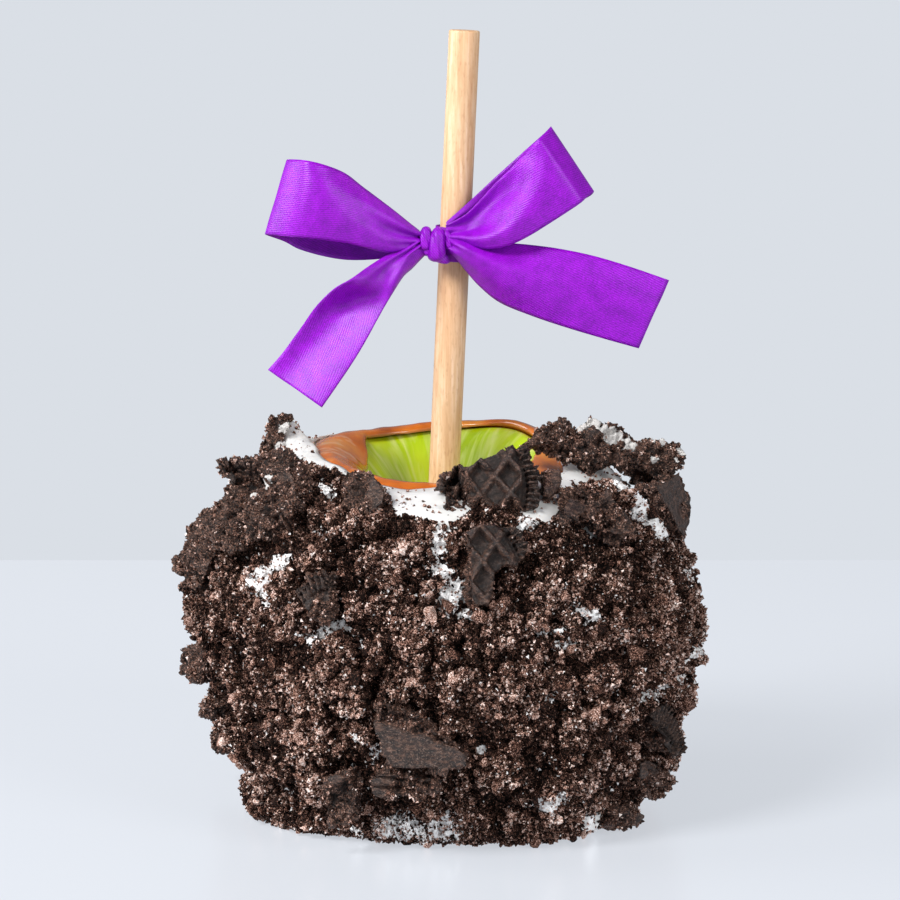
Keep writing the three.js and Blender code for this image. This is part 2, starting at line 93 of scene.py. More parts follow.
# The larger biscuit pieces, where the CAD has them. All have
#   at        their middle
#   face      the way the outer face looks: degrees round from the front, and up
#   crumbly   how crumbly the faces are, from 0 to 1
#   outline   the broken outline, with thick for the thickness; or the CAD's own outline, from size,
#             turn, and the corners of a shard or the side (rim) that keeps the biscuit's edge
# and some have
#   embossed  the pattern, with centre for the middle of the whole biscuit, ribs for how strongly its
#             edge is ridged, and worn for the places (x, y, radius) where the pattern has broken off
#   chunky    how much coarser than the others it broke
#   cream     where filling sticks to it: x, y, radius
#   grooves   grooves (-) and steps (+) on the face: x, y, half length, half width, tilt, height
#   torn      the line above which its top layer has split off
PIECES = [
    dict(at=(-38.9, -25.1, 65.9), face=(-40, 14), thick=8, crumbly=0.9, chunky=1.7,
         cream=[(4, 6.4, 1.5), (7.5, 7.4, 1.1), (2, 3.5, 0.8)],
         grooves=[(1, 6, 9, 1.6, -8, -2.2), (2, 10.4, 11, 1.8, -3, 1), (3, -1, 8, 4.5, 20, 1.3),
                  (-8, 3.5, 2, 1.5, 0, -2)],
         outline=[(-9.1, 10.4), (-3.4, 10.8), (2.9, 12.3), (7.8, 12.4), (10.8, 11.1), (13.5, 8.3),
                  (15.2, 4.1), (14.4, 1), (11.4, -1.8), (8.3, -3.8), (5.2, -5.6), (1, -8),
                  (-3.2, -9.4), (-5.6, -7.8), (-6.1, -2.4), (-6.4, 1.6), (-6, 4.9), (-9.2, 6.4),
                  (-9.8, 8.2)]),
    dict(at=(-35.3, 2, 76), face=(-14, 2), thick=6, crumbly=1, cream=[(3.2, 3.2, 1.9), (2.4, -1.2, 2.2)],
         outline=[(-4.2, -3), (-2.9, -0.4), (-1.9, 2.5), (-1.2, 5.1), (-0.1, 6.6), (2, 7.3), (3.7, 6.7),
                  (4.4, 5.3), (4, 3.2), (3.1, 1.1), (2.7, -1.1), (1.8, -3.6), (-2.1, -4.6)]),
    dict(at=(-50.5, -8, 53), face=(-50, 4), thick=8, crumbly=1,
         outline=[(-2.1, 7.7), (1, 9.3), (4.3, 10.6), (8.7, 11.6), (11.8, 11.4), (13.1, 8.3), (12.3, 5.1),
                  (9.8, 2.5), (7.4, -1.8), (4.2, -5.8), (0.8, -6.3), (-2.4, -6.6), (-0.2, -2.7),
                  (-3, -3.1), (-4.8, -1.9), (-3.9, 0.1), (-1.9, 1.4), (-2.1, 4.1)]),
    dict(at=(-51.5, -5, 30.5), face=(-55, -5), thick=7, crumbly=1,
         outline=[(-1.7, 3.4), (1.1, 5.8), (5.2, 6.7), (8.6, 5.6), (9.3, 2.8), (8, -0.5), (4.5, -2.4),
                  (0.5, -2.5), (-2.4, -0.9), (-2.9, 1.2)]),
    dict(at=(-49.2, -10, 20), face=(-55, -10), thick=5, crumbly=0.8,
         outline=[(0.8, 3.8), (3.7, 5.5), (7.2, 5.5), (7.8, 3.4), (5.5, 1), (2, 0.1), (0, 1.3)]),
    dict(at=(-16.5, -33, 70.6), face=(-22, 30), thick=5.5, crumbly=0.6,
         outline=[(-4, 4), (-1.3, 4.6), (1.9, 5), (4.3, 2.8), (6.4, 0.1), (6.3, -2.4), (3.9, -4.5),
                  (0.8, -4.3), (-2, -3.4), (-3.8, 0.1)]),
    dict(at=(9.5, -30.5, 73.2), face=(8, 30), thick=4.5, crumbly=0.1, embossed=True, centre=(-12, -1),
         worn=[(-9, -3, 5), (-4.5, -6.5, 3), (3, -7, 2.5)],
         outline=[(-10.9, -0.4), (-9.6, 1), (-8.1, 2.1), (-6.4, 2.9), (-4.6, 2.4), (-2.5, 4.1), (0, 4.9),
                  (2.3, 5.9), (4.2, 6.7), (5.8, 6.5), (7.2, 6.6), (7.9, 5.1), (8.4, 3.2), (9.3, 1.4),
                  (9.5, -0.7), (9.7, -2.9), (9.6, -5), (9, -6.7), (6.8, -7.5), (4.7, -7.8), (1.8, -6.9),
                  (-1.2, -6.4), (-3.2, -5.7), (-5.3, -6.7), (-8.3, -7.1), (-10.3, -7.2), (-11, -5.9),
                  (-10.6, -2.3)]),
    dict(at=(21.8, -25.5, 71.6), face=(30, 30), thick=4.5, crumbly=0.7,
         outline=[(-3.1, 3.8), (-0.7, 3.8), (1.4, 3.2), (1.1, 0.6), (-0.1, -1.9), (-2.9, -3.4),
                  (-4.5, -3.2), (-3.8, 0.6)]),
    dict(at=(30.3, -9, 75.6), face=(32, 28), thick=6, crumbly=1, chunky=1.4,
         outline=[(-12.6, 5.9), (-11.3, 6.9), (-9.3, 6.9), (-7.1, 7), (-5, 5.9), (-2.8, 5.1), (-0.4, 4.9),
                  (1.8, 2.9), (3.5, 1.4), (5.6, 0.2), (7.1, -1.5), (6.3, -3.2), (3.8, -4.1), (1.7, -4.5),
                  (-0.3, -5.2), (-2.4, -4.2), (-4.6, -2.4), (-6.6, -0.4), (-8.8, 1.6), (-10.8, 3.2),
                  (-12.2, 4.6)]),
    dict(at=(36, 8, 76.6), face=(40, 30), thick=5, crumbly=1,
         cream=[(-7, 1, 3), (-3, -1.4, 3), (0.6, -3, 2.2)],
         outline=[(-9.6, 3.5), (-7.1, 4.6), (-5.4, 3.5), (-2.2, 2.3), (1.5, 2.3), (2.9, 1), (3.4, -1.1),
                  (4.2, -3), (2.7, -5.1), (0.4, -5.8), (-1.9, -4.6), (-5.1, -2.9), (-8.2, -0.3)]),
    dict(at=(44.3, 1, 71.5), face=(40, 12), thick=7, crumbly=1, chunky=1.3,
         cream=[(-1, 4.6, 1.2), (3.6, 2, 1), (-3.5, 1, 1), (1.5, 0.5, 0.7)],
         outline=[(-7.5, 3.6), (-5, 5), (-3, 5.2), (-2, 5.7), (0.6, 4.9), (2.7, 5.1), (4.3, 4.5),
                  (4.9, 3), (4.1, 0.3), (2.9, -1.7), (1.1, -3.6), (-1.2, -5), (-4.1, -3.9), (-6.2, -1.6),
                  (-7.5, 0.5)]),
    dict(at=(47.0, -5, 61.8), face=(62, 10), thick=5, crumbly=0.3,
         outline=[(-10.7, 8), (-6.2, 8.2), (-1.6, 8.8), (2.6, 9.4), (4.7, 7), (5.6, 3.9), (5.4, 0.6),
                  (3.3, -2.5), (-0.1, -4.9), (-3.2, -2.7), (-5.7, 1.4), (-8.9, 4.8)]),
    dict(at=(31, -29.5, 66), face=(40, 36), thick=5, crumbly=0.7, chunky=1.5,
         outline=[(-5.4, 6.7), (-2.8, 8), (-0.6, 7.1), (1.5, 5.9), (4.1, 4.6), (3.4, 2.4), (4.6, 0.4),
                  (5.7, -2.5), (6.4, -5.8), (3.1, -6.5), (-0.5, -5.6), (-3, -4.1), (-4.1, -2.1),
                  (-7.1, -0.2), (-9.6, 0.2), (-11.5, 1.1), (-10.5, 2.5), (-8, 4.3)]),
    dict(at=(12.5, -45.5, 59.5), face=(14, 20), thick=4, crumbly=0.2, embossed=True, centre=(-16, -4),
         outline=[(-8.9, 6.6), (-5.5, 7.9), (-1.5, 7.5), (1.6, 7.6), (3.9, 6.1), (4.4, 3), (3.1, 0.1),
                  (0.8, -1.4), (-1.8, -0.9), (-3.6, -2.4), (-4.3, -5.5), (-5.4, -8.7), (-7.4, -9.4),
                  (-8.9, -7.7), (-9, -4.3), (-8.3, -0.4), (-8.4, 3)]),
    dict(at=(-24, -45.5, 51.5), face=(-29, 8), turn=0, size=(10.5, 9.5, 4), rim=120, crumbly=0.4,
         embossed=True, worn=[(-3.4, 0, 3.6)]),
    dict(at=(-5, -52.4, 26.3), face=(-5, 2), thick=4.5, crumbly=0, torn=0.3,
         outline=[(-9.3, 6.1), (-7.3, 6.8), (-5.2, 5.8), (-2, 5.3), (1.1, 3.9), (3.5, 1.8), (5.7, -0.1),
                  (8.2, -1.9), (10, -3.8), (10, -5.8), (6.3, -6.3), (2.3, -6.4), (-2.6, -6.7),
                  (-5.5, -6.4), (-6.9, -4), (-7.7, -1.2), (-9.1, 1.3), (-9.5, 3.7)]),
    dict(at=(-19.8, -46.8, 13), face=(-20, -8), thick=5, crumbly=0.75,
         outline=[(-3.5, 4.1), (-0.8, 5.6), (2.4, 5.9), (3.3, 3.3), (3.5, 0.1), (3.1, -3.1), (2.1, -6),
                  (-0.9, -6.7), (-3, -6.5), (-3.7, -3.8), (-4, -0.6)]),
    dict(at=(-7.5, -50.2, 14.5), face=(-6, -8), thick=4.5, crumbly=0.75,
         grooves=[(0, 3, 7.5, 0.45, -6, -1.3), (0, 0.8, 7.5, 0.45, -6, -1.3)],
         outline=[(-7.6, 1), (-7.4, 3.5), (-5.8, 4.8), (-2, 4.9), (2, 4.8), (4.9, 4.3), (7.1, 3.3),
                  (6.1, 1.1), (2.9, -0.5), (-0.1, -1.2), (-4.1, -1.3), (-7.1, -0.5)]),
    dict(at=(45.9, -20.5, 18.7), face=(52, -8), thick=4.5, crumbly=0.1,
         embossed=True, ribs=1.5, centre=(-15, -13),
         outline=[(-10.6, 6.9), (-9.3, 8.8), (-6.5, 8.9), (-3.6, 7.3), (-0.6, 4.6), (1.1, 2.2),
                  (3.1, -0.4), (4.6, -2.4), (4.6, -4.2), (1.8, -4.5), (-1.3, -3.7), (-3.8, -2.1),
                  (-6.5, 0.6), (-8.9, 3.6)]),
    dict(at=(44.6, -16, 9), face=(50, -12), thick=5, crumbly=0.6,
         grooves=[(-4, 3.4, 9, 0.5, -28, -1.3), (-3, 1.2, 9, 0.45, -30, -1.1), (-4, -1.2, 8, 0.5, -27, -1.3)],
         outline=[(-11.9, 6.6), (-8.9, 6.9), (-4.9, 4.8), (-0.4, 2.1), (3, 0.1), (2.6, -2.1), (0.5, -4.4),
                  (-4, -4.3), (-8.2, -2.6), (-11.1, 0.2), (-12, 3.5)]),
    dict(at=(37.5, -24, 3.8), face=(45, -14), thick=5, crumbly=0.9,
         outline=[(-7.7, -0.3), (-6.8, 1.7), (-3.1, 1.7), (1.3, 0.8), (3.9, -0.8), (3.5, -2.5),
                  (2.3, -3.7), (-2.6, -3.6), (-6.9, -2.3)]),
    dict(at=(27, 37, 66.5), face=(142, 40), turn=12, size=(17, 13, 5), corners=7, crumbly=1),
    dict(at=(-14, 45.5, 61), face=(197, 25), turn=-8, size=(15, 12, 4.5), rim=200, crumbly=0.2,
         embossed=True),
    dict(at=(-35, 31, 65), face=(228, 34), turn=20, size=(16, 12, 5.5), corners=7, crumbly=0.9),
    dict(at=(47.5, 23.5, 48), face=(117, 5), turn=-15, size=(13, 15, 4.5), corners=6, crumbly=0.2),
    dict(at=(8, 52.3, 43), face=(171, 3), turn=9, size=(18, 13, 4.5), corners=8, crumbly=0.2,
         embossed=True),
    dict(at=(-42.5, 33, 37), face=(232, -2), turn=0, size=(14, 12, 4.5), rim=60, crumbly=0.3,
         embossed=True),
    dict(at=(24.5, 45.5, 20.5), face=(152, -8), turn=-12, size=(16, 11, 5), corners=7, crumbly=0.1),
    dict(at=(-22.5, 45, 15), face=(207, -12), turn=10, size=(12, 10, 5), corners=6, crumbly=0.6),
    dict(at=(-47, 15, 10), face=(250, -12), turn=0, size=(9, 9, 5), corners=6, crumbly=0.8),
]
# The generic embossing: a lattice of raised lines that cross in flat diamonds, and the ridged edge.
DIAMOND_PITCH, DIAMOND_SQUASH, DIAMOND_LINE, DIAMOND_HEIGHT = 6, 0.8, 0.2, 1.6
RIDGE_PITCH, RIDGE_HEIGHT, RIDGE_DEPTH = 1.35, 0.6, 0.25
# How far the larger pieces stand out of the crumbs, and how deep the gap round each is.
PIECE_STANDS_OUT, GAP_ROUND_PIECE = 2.4, 1.6

# Where the white coating shows through the crumbs on the shown side: x, z, half length, half width,
# tilt in degrees, and how clean it is.
PATCHES = [
    (36.4, 72, 3.8, 2, -34, 1.5), (41, 67.4, 4.2, 1.9, -48, 1.5), (45.4, 61.6, 4.6, 1.6, -54, 1.5),
    (-36, 57, 6.5, 2.5, 62, 0.9), (-38, 53, 4, 2.1, -55, 0.9), (-44, 68, 2.2, 2.6, 0, 0.9),
    (-37, 71, 1.8, 1.4, 0, 0.7), (-26, 73, 4.2, 1.1, 5, 0.9), (-40, 68.2, 2, 1.2, 0, 0.6),
    (-26.4, 66, 1.6, 1.2, 0, 0.5), (-18, 63.7, 2, 1, 30, 0.5), (-28.5, 44, 3, 1.5, -40, 0.9),
    (-23, 47, 4.4, 1.5, 35, 0.9), (-19.5, 46, 2.8, 1.2, -40, 0.7), (-17.2, 24, 3, 1.5, -60, 0.9),
    (-14.4, 20.5, 2.8, 1.8, 40, 0.9), (-35, 7.6, 3, 1.2, -50, 0.8), (-19.5, 1.8, 4, 1.1, 0, 1.0),
    (-9.5, 4.2, 6, 3.3, 5, 0.93), (-0.8, 59.5, 3, 3.2, 80, 0.95), (1.2, 54.2, 4.2, 2.8, 60, 0.95),
    (4.6, 50.6, 2.6, 1.1, -10, 1.0), (-1, 64.5, 3.4, 2.4, 80, 0.9), (17.4, 67.5, 3, 1.6, 0, 0.8),
    (28.5, 49.2, 4, 1.3, -30, 0.8), (22, 46.2, 5, 1.1, 12, 0.8), (24.5, 43.2, 2.4, 1, 0, 0.6),
    (50.5, 49.5, 1.4, 2.2, 0, 0.8), (50.3, 35.2, 1.9, 2.4, 0, 1.0), (50, 31.4, 1.1, 1.4, 0, 0.95),
    (44.8, 29.4, 4, 2.4, 20, 0.6), (22, 10.2, 5, 1.9, 30, 0.95), (0.6, 5, 4.8, 3.4, 0, 0.93),
    (31.4, 2.8, 3, 2.4, 20, 1.2), (7.8, 21.6, 1.8, 1, 0, 0.7),
    (0, 19.4, 2, 0.9, 0, 0.7), (21.8, 32.2, 1.2, 1.6, 60, 0.6), (-7.6, 60, 1.6, 0.9, 20, 0.5),
]
# Heaps of the white coating where it was pushed up: x, y, width, height.
WHITE_HEAPS = [(-32.4, 3, 2.7, 5.4), (-26, 0, 4, 1), (-30, -2, 2.2, 1.4), (-35, -3, 3, 2)]
# The crevices and swellings of the shown side: x, z, half length, half width, tilt, height.
CREASES = [
    (-30, 63, 6.5, 2.4, 33, -4.6), (30, 61.5, 6.5, 2.6, -35, -3.2), (7.5, 28, 5.5, 2, -35, -3),
    (-16.4, 13, 7.5, 1.7, 88, -4.6), (36, 4, 5, 2.6, 10, -3), (16, 14.6, 7, 1.2, 14, -2.6),
    (-9, 67, 4.5, 2, 20, -1.5), (-12, 36, 9, 1.5, 20, -2), (17, 40.5, 10, 1.4, -8, -2),
    (-22, 33, 11, 7, 0, 1.2), (10, 36.5, 8, 4, 25, 1.2), (30, 30, 9, 8, 0, 1.3),
    (-30, 14, 8, 5, 0, 1.2), (-6, 58, 5, 5, 0, 1.4), (24, 54, 8, 3, -15, 1.2),
    (32, 20, 10, 1.5, 25, -2), (-38, 40, 3, 10, 0, 1), (50.3, 35.2, 2, 2.6, 0, 1.3),
    (24, 8, 8, 3.2, 10, 1.4), (-9, 4, 6.5, 4, 0, 1.5), (1, 5, 5, 4, 0, 1.5),
    (-13, 60, 4, 3, 20, 1.5), (-36, 28, 8, 1.4, -25, -1.4),
]
CLODS = [(10.5, 1), (4.4, 2), (1.9, 5)]  # the clods of packed crumbs: size and seed

# The crumbs of the coat: name, how many, smallest and largest size, tone from dark to light and how
# much it varies, shape, and how far they are sunk in. More of them are finer than real ones are, but
# none is finer than can be seen.
CRUMB_KINDS = [
    ("crumb_grit_dark", 48000, 0.45, 0.95, 0.2, 0.15, "shard", 0.1),
    ("crumb_grit_brown", 48000, 0.45, 0.95, 0.4, 0.17, "shard", 0.1),
    ("crumb_grit_tan", 49000, 0.3, 0.7, 0.61, 0.19, "shard", 0.1),
    ("crumbs_fine", 9000, 0.6, 1.2, 0.38, 0.2, "fine", 0.1),
    ("crumbs_coarse", 4500, 1.0, 1.9, 0.34, 0.14, "coarse", 0.1),
    ("crumbs_chunks", 600, 1.8, 3.4, 0.3, 0.09, "coarse", 0.3),
]
WHITE_BITS, GRAINS_ON_BARE, GRAINS_ON_WHITE = 8500, 2200, 1700

# The ribbon, and the turn of it round the stick. It is pleated where it is narrower than FLAT_FROM.
RIBBON_WIDTH, RIBBON_THICKNESS, FLAT_FROM = 16, 0.2, 14.5
TURN = {"radius": 4.0, "wide": 7, "at": 118}
# The wraps of the knot: middle, half sizes, lean in radians, and how deep its creases are.
KNOT = [
    ((-1.6, -6.6, 118.4), (1.8, 2.2, 3.6), 0.12, 0.07), ((-3.9, -6.2, 119.6), (1.35, 1.8, 2.5), 0.05, 0.08),
    ((-3.7, -5.8, 117.6), (1.2, 1.6, 1.6), -0.5, 0.06), ((0.7, -6.1, 119.4), (1.0, 1.6, 2.1), -0.25, 0.07),
    ((-0.6, -5.4, 115.5), (1.6, 1.6, 1.1), 0.2, 0.05),
]

# The stage, in metres: each light's name, place, size and power, and the camera.
LIGHTS = [("key", (-0.72, -0.72, 0.9), 0.5, 22), ("fill", (0.9, -0.9, 0.6), 0.7, 9),
          ("rim", (-1.0, 0.05, 0.45), 0.7, 7)]
LIT_POINT = (0, 0, 0.07)
CAMERA = {"lens": 153.84, "far": 0.8, "up": 9, "aim": (0.00104, 0, 0.0748)}
TABLE_BACK_EDGE = 0.274


# ---- small helpers ----


def smooth(x, low, high):
    """0 up to low, 1 from high on, and a soft step between."""
    x = np.clip((x - low) / (high - low), 0, 1)
    return x * x * (3 - 2 * x)


def stream(seed):
    """The CAD's own repeatable numbers from 0 to 1, so that lumps and shards match its solids."""
    state = seed * 7919 + 13
    while True:
        state = (state * 1664525 + 1013904223) % 4294967296
        yield state / 4294967296


def rough(points, size, octaves=3, seed=0.0):
    """Noise of about -1 to 1 at each point, with bumps about as long as size."""
    shift = Vector((seed * 17.3, seed * 5.1, seed * 9.7))
    return np.array([noise.fractal(Vector(p) / size + shift, 0.9, 2.1, octaves) for p in points])


def clods(points, size, seed=0.0, warp=0.6):
    """Clods of about that size: how high each point is on its clod, from 0 to 1, and how near it is to
    the crack round it."""
    shift = Vector((seed * 3.7, seed * 11.9, seed * 2.3))
    domes, cracks = np.empty(len(points)), np.empty(len(points))
    for i, p in enumerate(points):
        at = Vector(p) / size + shift
        at += warp * noise.noise_vector(at * 1.3)
        near, next_near = noise.voronoi(at)[0][:2]
        domes[i], cracks[i] = near, next_near - near
    return np.sqrt(np.clip(1 - (domes / 0.9) ** 2, 0, 1)), 1 - smooth(cracks, 0.02, 0.22)


def chips(points, size, seed=0.0):
    """Flat broken facets of about that size, each tilted its own way: how high each point is."""
    shift = Vector((seed * 5.3, seed * 2.9, seed * 7.1))
    heights = np.empty(len(points))
    for i, p in enumerate(points):
        at = Vector(p) / size + shift
        middle = noise.voronoi(at)[1][0]
        tilt = noise.noise_vector(middle * 9.1)
        heights[i] = noise.noise(middle * 7.7) + 1.3 * tilt.dot(at - middle)
    return heights


def spot(x, z, place):
    """How far in a tilted oval a point is: 0 at its middle and 1 on its edge."""
    at_x, at_z, long, wide, tilt = place[:5]
    c, s = math.cos(math.radians(tilt)), math.sin(math.radians(tilt))
    along, across = (x - at_x) * c + (z - at_z) * s, (z - at_z) * c - (x - at_x) * s
    return np.hypot(along / long, across / wide)


def finished(name, bm_or_mesh, material, nodes=(), smooth_shaded=True):
    """Turns a bmesh or mesh in millimetres into a piece of the object."""
    if isinstance(bm_or_mesh, bmesh.types.BMesh):
        mesh = bpy.data.meshes.new(name)
        bm_or_mesh.to_mesh(mesh)
        bm_or_mesh.free()
    else:
        mesh = bm_or_mesh
    mesh.transform(Matrix.Scale(MM, 4))
    mesh.materials.clear()
    mesh.materials.append(material)
    mesh.polygons.foreach_set("use_smooth", [smooth_shaded] * len(mesh.polygons))
    piece = bpy.data.objects.new(name, mesh)
    bpy.context.collection.objects.link(piece)
    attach(piece, "root")
    if nodes:
        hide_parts(*nodes)
    return piece


def coordinates(mesh):
    """A mesh's vertices as an array."""
    flat = np.empty(len(mesh.vertices) * 3)
    mesh.vertices.foreach_get("co", flat)
    return flat.reshape(-1, 3)


def with_modifier(mesh, kind, **settings):
    """The mesh that a modifier makes of this one, which it stands in for."""
    holder = bpy.data.objects.new(mesh.name, mesh)
    bpy.context.collection.objects.link(holder)
    modifier = holder.modifiers.new("shaping", kind)
    for name, value in settings.items():
        setattr(modifier, name, value)
    made = bpy.data.meshes.new_from_object(holder.evaluated_get(bpy.context.evaluated_depsgraph_get()))
    bpy.data.objects.remove(holder)
    bpy.data.meshes.remove(mesh)
    return made


def put(mesh, name, values):
    """Stores a number for each vertex, which a material reads by name."""
    layer = mesh.attributes.new(name, "FLOAT", "POINT")
    layer.data.foreach_set("value", np.asarray(values, np.float32))


# ---- materials ----


def colour(code):
    """An sRGB hex value as linear light."""
    parts = [int(code[i:i + 2], 16) / 255 for i in (1, 3, 5)]
    return (*[p / 12.92 if p <= 0.04045 else ((p + 0.055) / 1.055) ** 2.4 for p in parts], 1)


def first_output(node):
    """The first output of a node that is in use."""
    return next(out for out in node.outputs if out.enabled)


def add(tree, kind, links=None, stops=None, **settings):
    """Adds a node. links gives its inputs: each a value, another node's output, or another node, for
    its first output. stops gives a ramp's places and colours."""
    made = tree.nodes.new("ShaderNode" + kind)
    for name, value in settings.items():
        setattr(made, name, value)
    for name, value in (links or {}).items():
        if isinstance(value, bpy.types.Node):
            value = first_output(value)
        if isinstance(value, bpy.types.NodeSocket):
            tree.links.new(value, made.inputs[name])
        else:
            made.inputs[name].default_value = value
    if stops:
        ramp = made.color_ramp.elements
        while len(ramp) < len(stops):
            ramp.new(0.5)
        for element, (place, code) in zip(ramp, stops):
            element.position, element.color = place, colour(code)
    return made


def material(name, **values):
    """A new material with one Principled shader, whose plain values are set on its own sockets."""
    made = bpy.data.materials.new(name)
    made.use_nodes = True
    shader = made.node_tree.nodes["Principled BSDF"]
    for socket, value in values.items():
        shader.inputs[socket.replace("_", " ")].default_value = value
    return made, made.node_tree


def wired(made, **nodes):
    """The material, with these nodes linked to its shader."""
    shader = made.node_tree.nodes["Principled BSDF"]
    for socket, node in nodes.items():
        made.node_tree.links.new(first_output(node), shader.inputs[socket.replace("_", " ")])
    return made


def fruit_skin():
    """Green apple skin, waxed: clear green, with pale streaks that run down to the stalk."""
    made, tree = material("waxed_green_apple_skin", Roughness=0.3, IOR=1.45, Coat_Weight=0.25,
                          Subsurface_Weight=0.2, Subsurface_Radius=(0.002, 0.003, 0.0006),
                          Subsurface_Scale=1.0)
    uv = add(tree, "UVMap", uv_map="round")
    # u goes once round and v down the hollow, so a high u scale draws streaks about 2 mm apart
    fine = add(tree, "Mapping", {"Vector": uv, "Scale": (46, 4, 1)})
    streaks = add(tree, "TexNoise", {"Vector": fine, "Scale": 1, "Detail": 4, "Distortion": 1.1})
    broad = add(tree, "Mapping", {"Vector": uv, "Scale": (9, 3, 1)})
    patches = add(tree, "TexNoise", {"Vector": broad, "Scale": 1, "Detail": 3})
    green = add(tree, "ValToRGB", {"Fac": patches}, [(0.3, "#87a000"), (0.5, "#a9c206"), (0.68, "#cddc2c")])
    pale = add(tree, "ValToRGB", {"Fac": streaks}, [(0.44, "#000000"), (0.72, "#c0c0c0")])
    mixed = add(tree, "Mix", {"Factor": pale, "A": green, "B": colour("#e6e6a2")}, data_type="RGBA")
    bump = add(tree, "Bump", {"Height": streaks, "Distance": 0.00015, "Strength": 0.3})
    return wired(made, Base_Color=mixed, Normal=bump)


def caramel_gloss():
    """Cooked sugar caramel, poured and set: amber, slightly see-through, paler where it is thin, with
    pale streaks of painted highlight on its left.
    """
    made, tree = material("poured_soft_caramel", Roughness=0.16, IOR=1.5, Coat_Weight=0.5,
                          Coat_Roughness=0.08, Subsurface_Weight=0.15,
                          Subsurface_Radius=(0.004, 0.0016, 0.0005), Subsurface_Scale=1.0)
    # thin: paler at the thin edge of the rim, and painted highlight streaks on the left
    thin = add(tree, "Attribute", attribute_name="thin").outputs["Fac"]
    place = add(tree, "TexCoord").outputs["Object"]
    cloud = add(tree, "TexNoise", {"Vector": place, "Scale": 120, "Detail": 3})
    amber = add(tree, "ValToRGB", {"Fac": cloud}, [(0.3, "#944404"), (0.52, "#c06208"), (0.74, "#d08230")])
    mixed = add(tree, "Mix", {"Factor": thin, "A": amber, "B": colour("#dcc5a0")}, data_type="RGBA")
    wave = add(tree, "TexNoise", {"Vector": place, "Scale": 260, "Detail": 2})
    bump = add(tree, "Bump", {"Height": wave, "Distance": 0.0003, "Strength": 0.35})
    return wired(made, Base_Color=mixed, Normal=bump)


def white_coating():
    """White confectionery coating, dipped and set: satin, faintly cream, dusted with crumbs."""
    made, tree = material("dipped_white_coating", Roughness=0.42, IOR=1.45, Subsurface_Weight=0.2,
                          Subsurface_Radius=(0.002, 0.0017, 0.0014), Subsurface_Scale=1.0)
    place = add(tree, "TexCoord").outputs["Object"]
    cloud = add(tree, "TexNoise", {"Vector": place, "Scale": 150, "Detail": 4})
    white = add(tree, "ValToRGB", {"Fac": cloud}, [(0.3, "#cbcac7"), (0.6, "#d9d8d6"), (0.8, "#e2e1e0")])
    # cocoa dust, specks about 0.3 mm
    dust = add(tree, "TexNoise", {"Vector": place, "Scale": 2200, "Detail": 2})
    where = add(tree, "TexNoise", {"Vector": place, "Scale": 300, "Detail": 2})
    both = add(tree, "Math", {0: dust, 1: where}, operation="MULTIPLY")
    specks = add(tree, "ValToRGB", {"Fac": both}, [(0.39, "#000000"), (0.43, "#ffffff")])
    mixed = add(tree, "Mix", {"Factor": specks, "A": white, "B": colour("#6b5347")}, data_type="RGBA")
    bump = add(tree, "Bump", {"Height": cloud, "Distance": 0.0004, "Strength": 0.4})
    return wired(made, Base_Color=mixed, Normal=bump)


def crumb_bed():
    """Cocoa biscuit crushed to crumbs: dull and brown, with painted shade that turns it black in its pores,
    cracks and gaps. Where the coating is bare it shows white between the crumbs."""
    made, tree = material("crushed_cocoa_biscuit", Roughness=0.9, IOR=1.4, Specular_IOR_Level=0.12)
    place = add(tree, "TexCoord").outputs["Object"]
    # grit of 0.3 mm: its dark and pale flecks are partly the crumbs' own tone and partly painted shade and
    # glints
    grit = add(tree, "TexNoise", {"Vector": place, "Scale": 3000, "Detail": 3, "Roughness": 0.8})
    brown = add(tree, "ValToRGB", {"Fac": grit},
                [(0.41, "#040202"), (0.5, "#42291f"), (0.58, "#93705f"), (0.67, "#e2c8ba")])
    painted_shade_factor = add(tree, "Attribute", attribute_name="open").outputs["Fac"]
    # painted shade: the bed goes near black where the open attribute is low, in pores, cracks and gaps
    shaded = add(tree, "Mix", {"Factor": painted_shade_factor, "A": colour("#020101"), "B": brown}, data_type="RGBA")
    snow = add(tree, "ValToRGB", {"Fac": grit}, [(0.3, "#cfc8c3"), (0.42, "#f3f1ef"), (0.55, "#fdfdfd")])
    bare = add(tree, "Attribute", attribute_name="bare").outputs["Fac"]
    lace = add(tree, "TexNoise", {"Vector": place, "Scale": 1150, "Detail": 4, "Roughness": 0.75})
    edge = add(tree, "Math", {0: bare, 1: 0.8, 2: lace}, operation="MULTIPLY_ADD")
    sharp = add(tree, "ValToRGB", {"Fac": edge}, [(0.9, "#000000"), (0.97, "#ffffff")])
    mixed = add(tree, "Mix", {"Factor": sharp, "A": shaded, "B": snow}, data_type="RGBA")
    # the bare places are smoother
    depth = add(tree, "MapRange", {"Value": bare, "From Min": 0.5, "From Max": 1.1, "To Min": 1.0,
                                   "To Max": 0.1})
    bump = add(tree, "Bump", {"Height": grit, "Distance": 0.0008, "Strength": depth})
    return wired(made, Base_Color=mixed, Normal=bump)


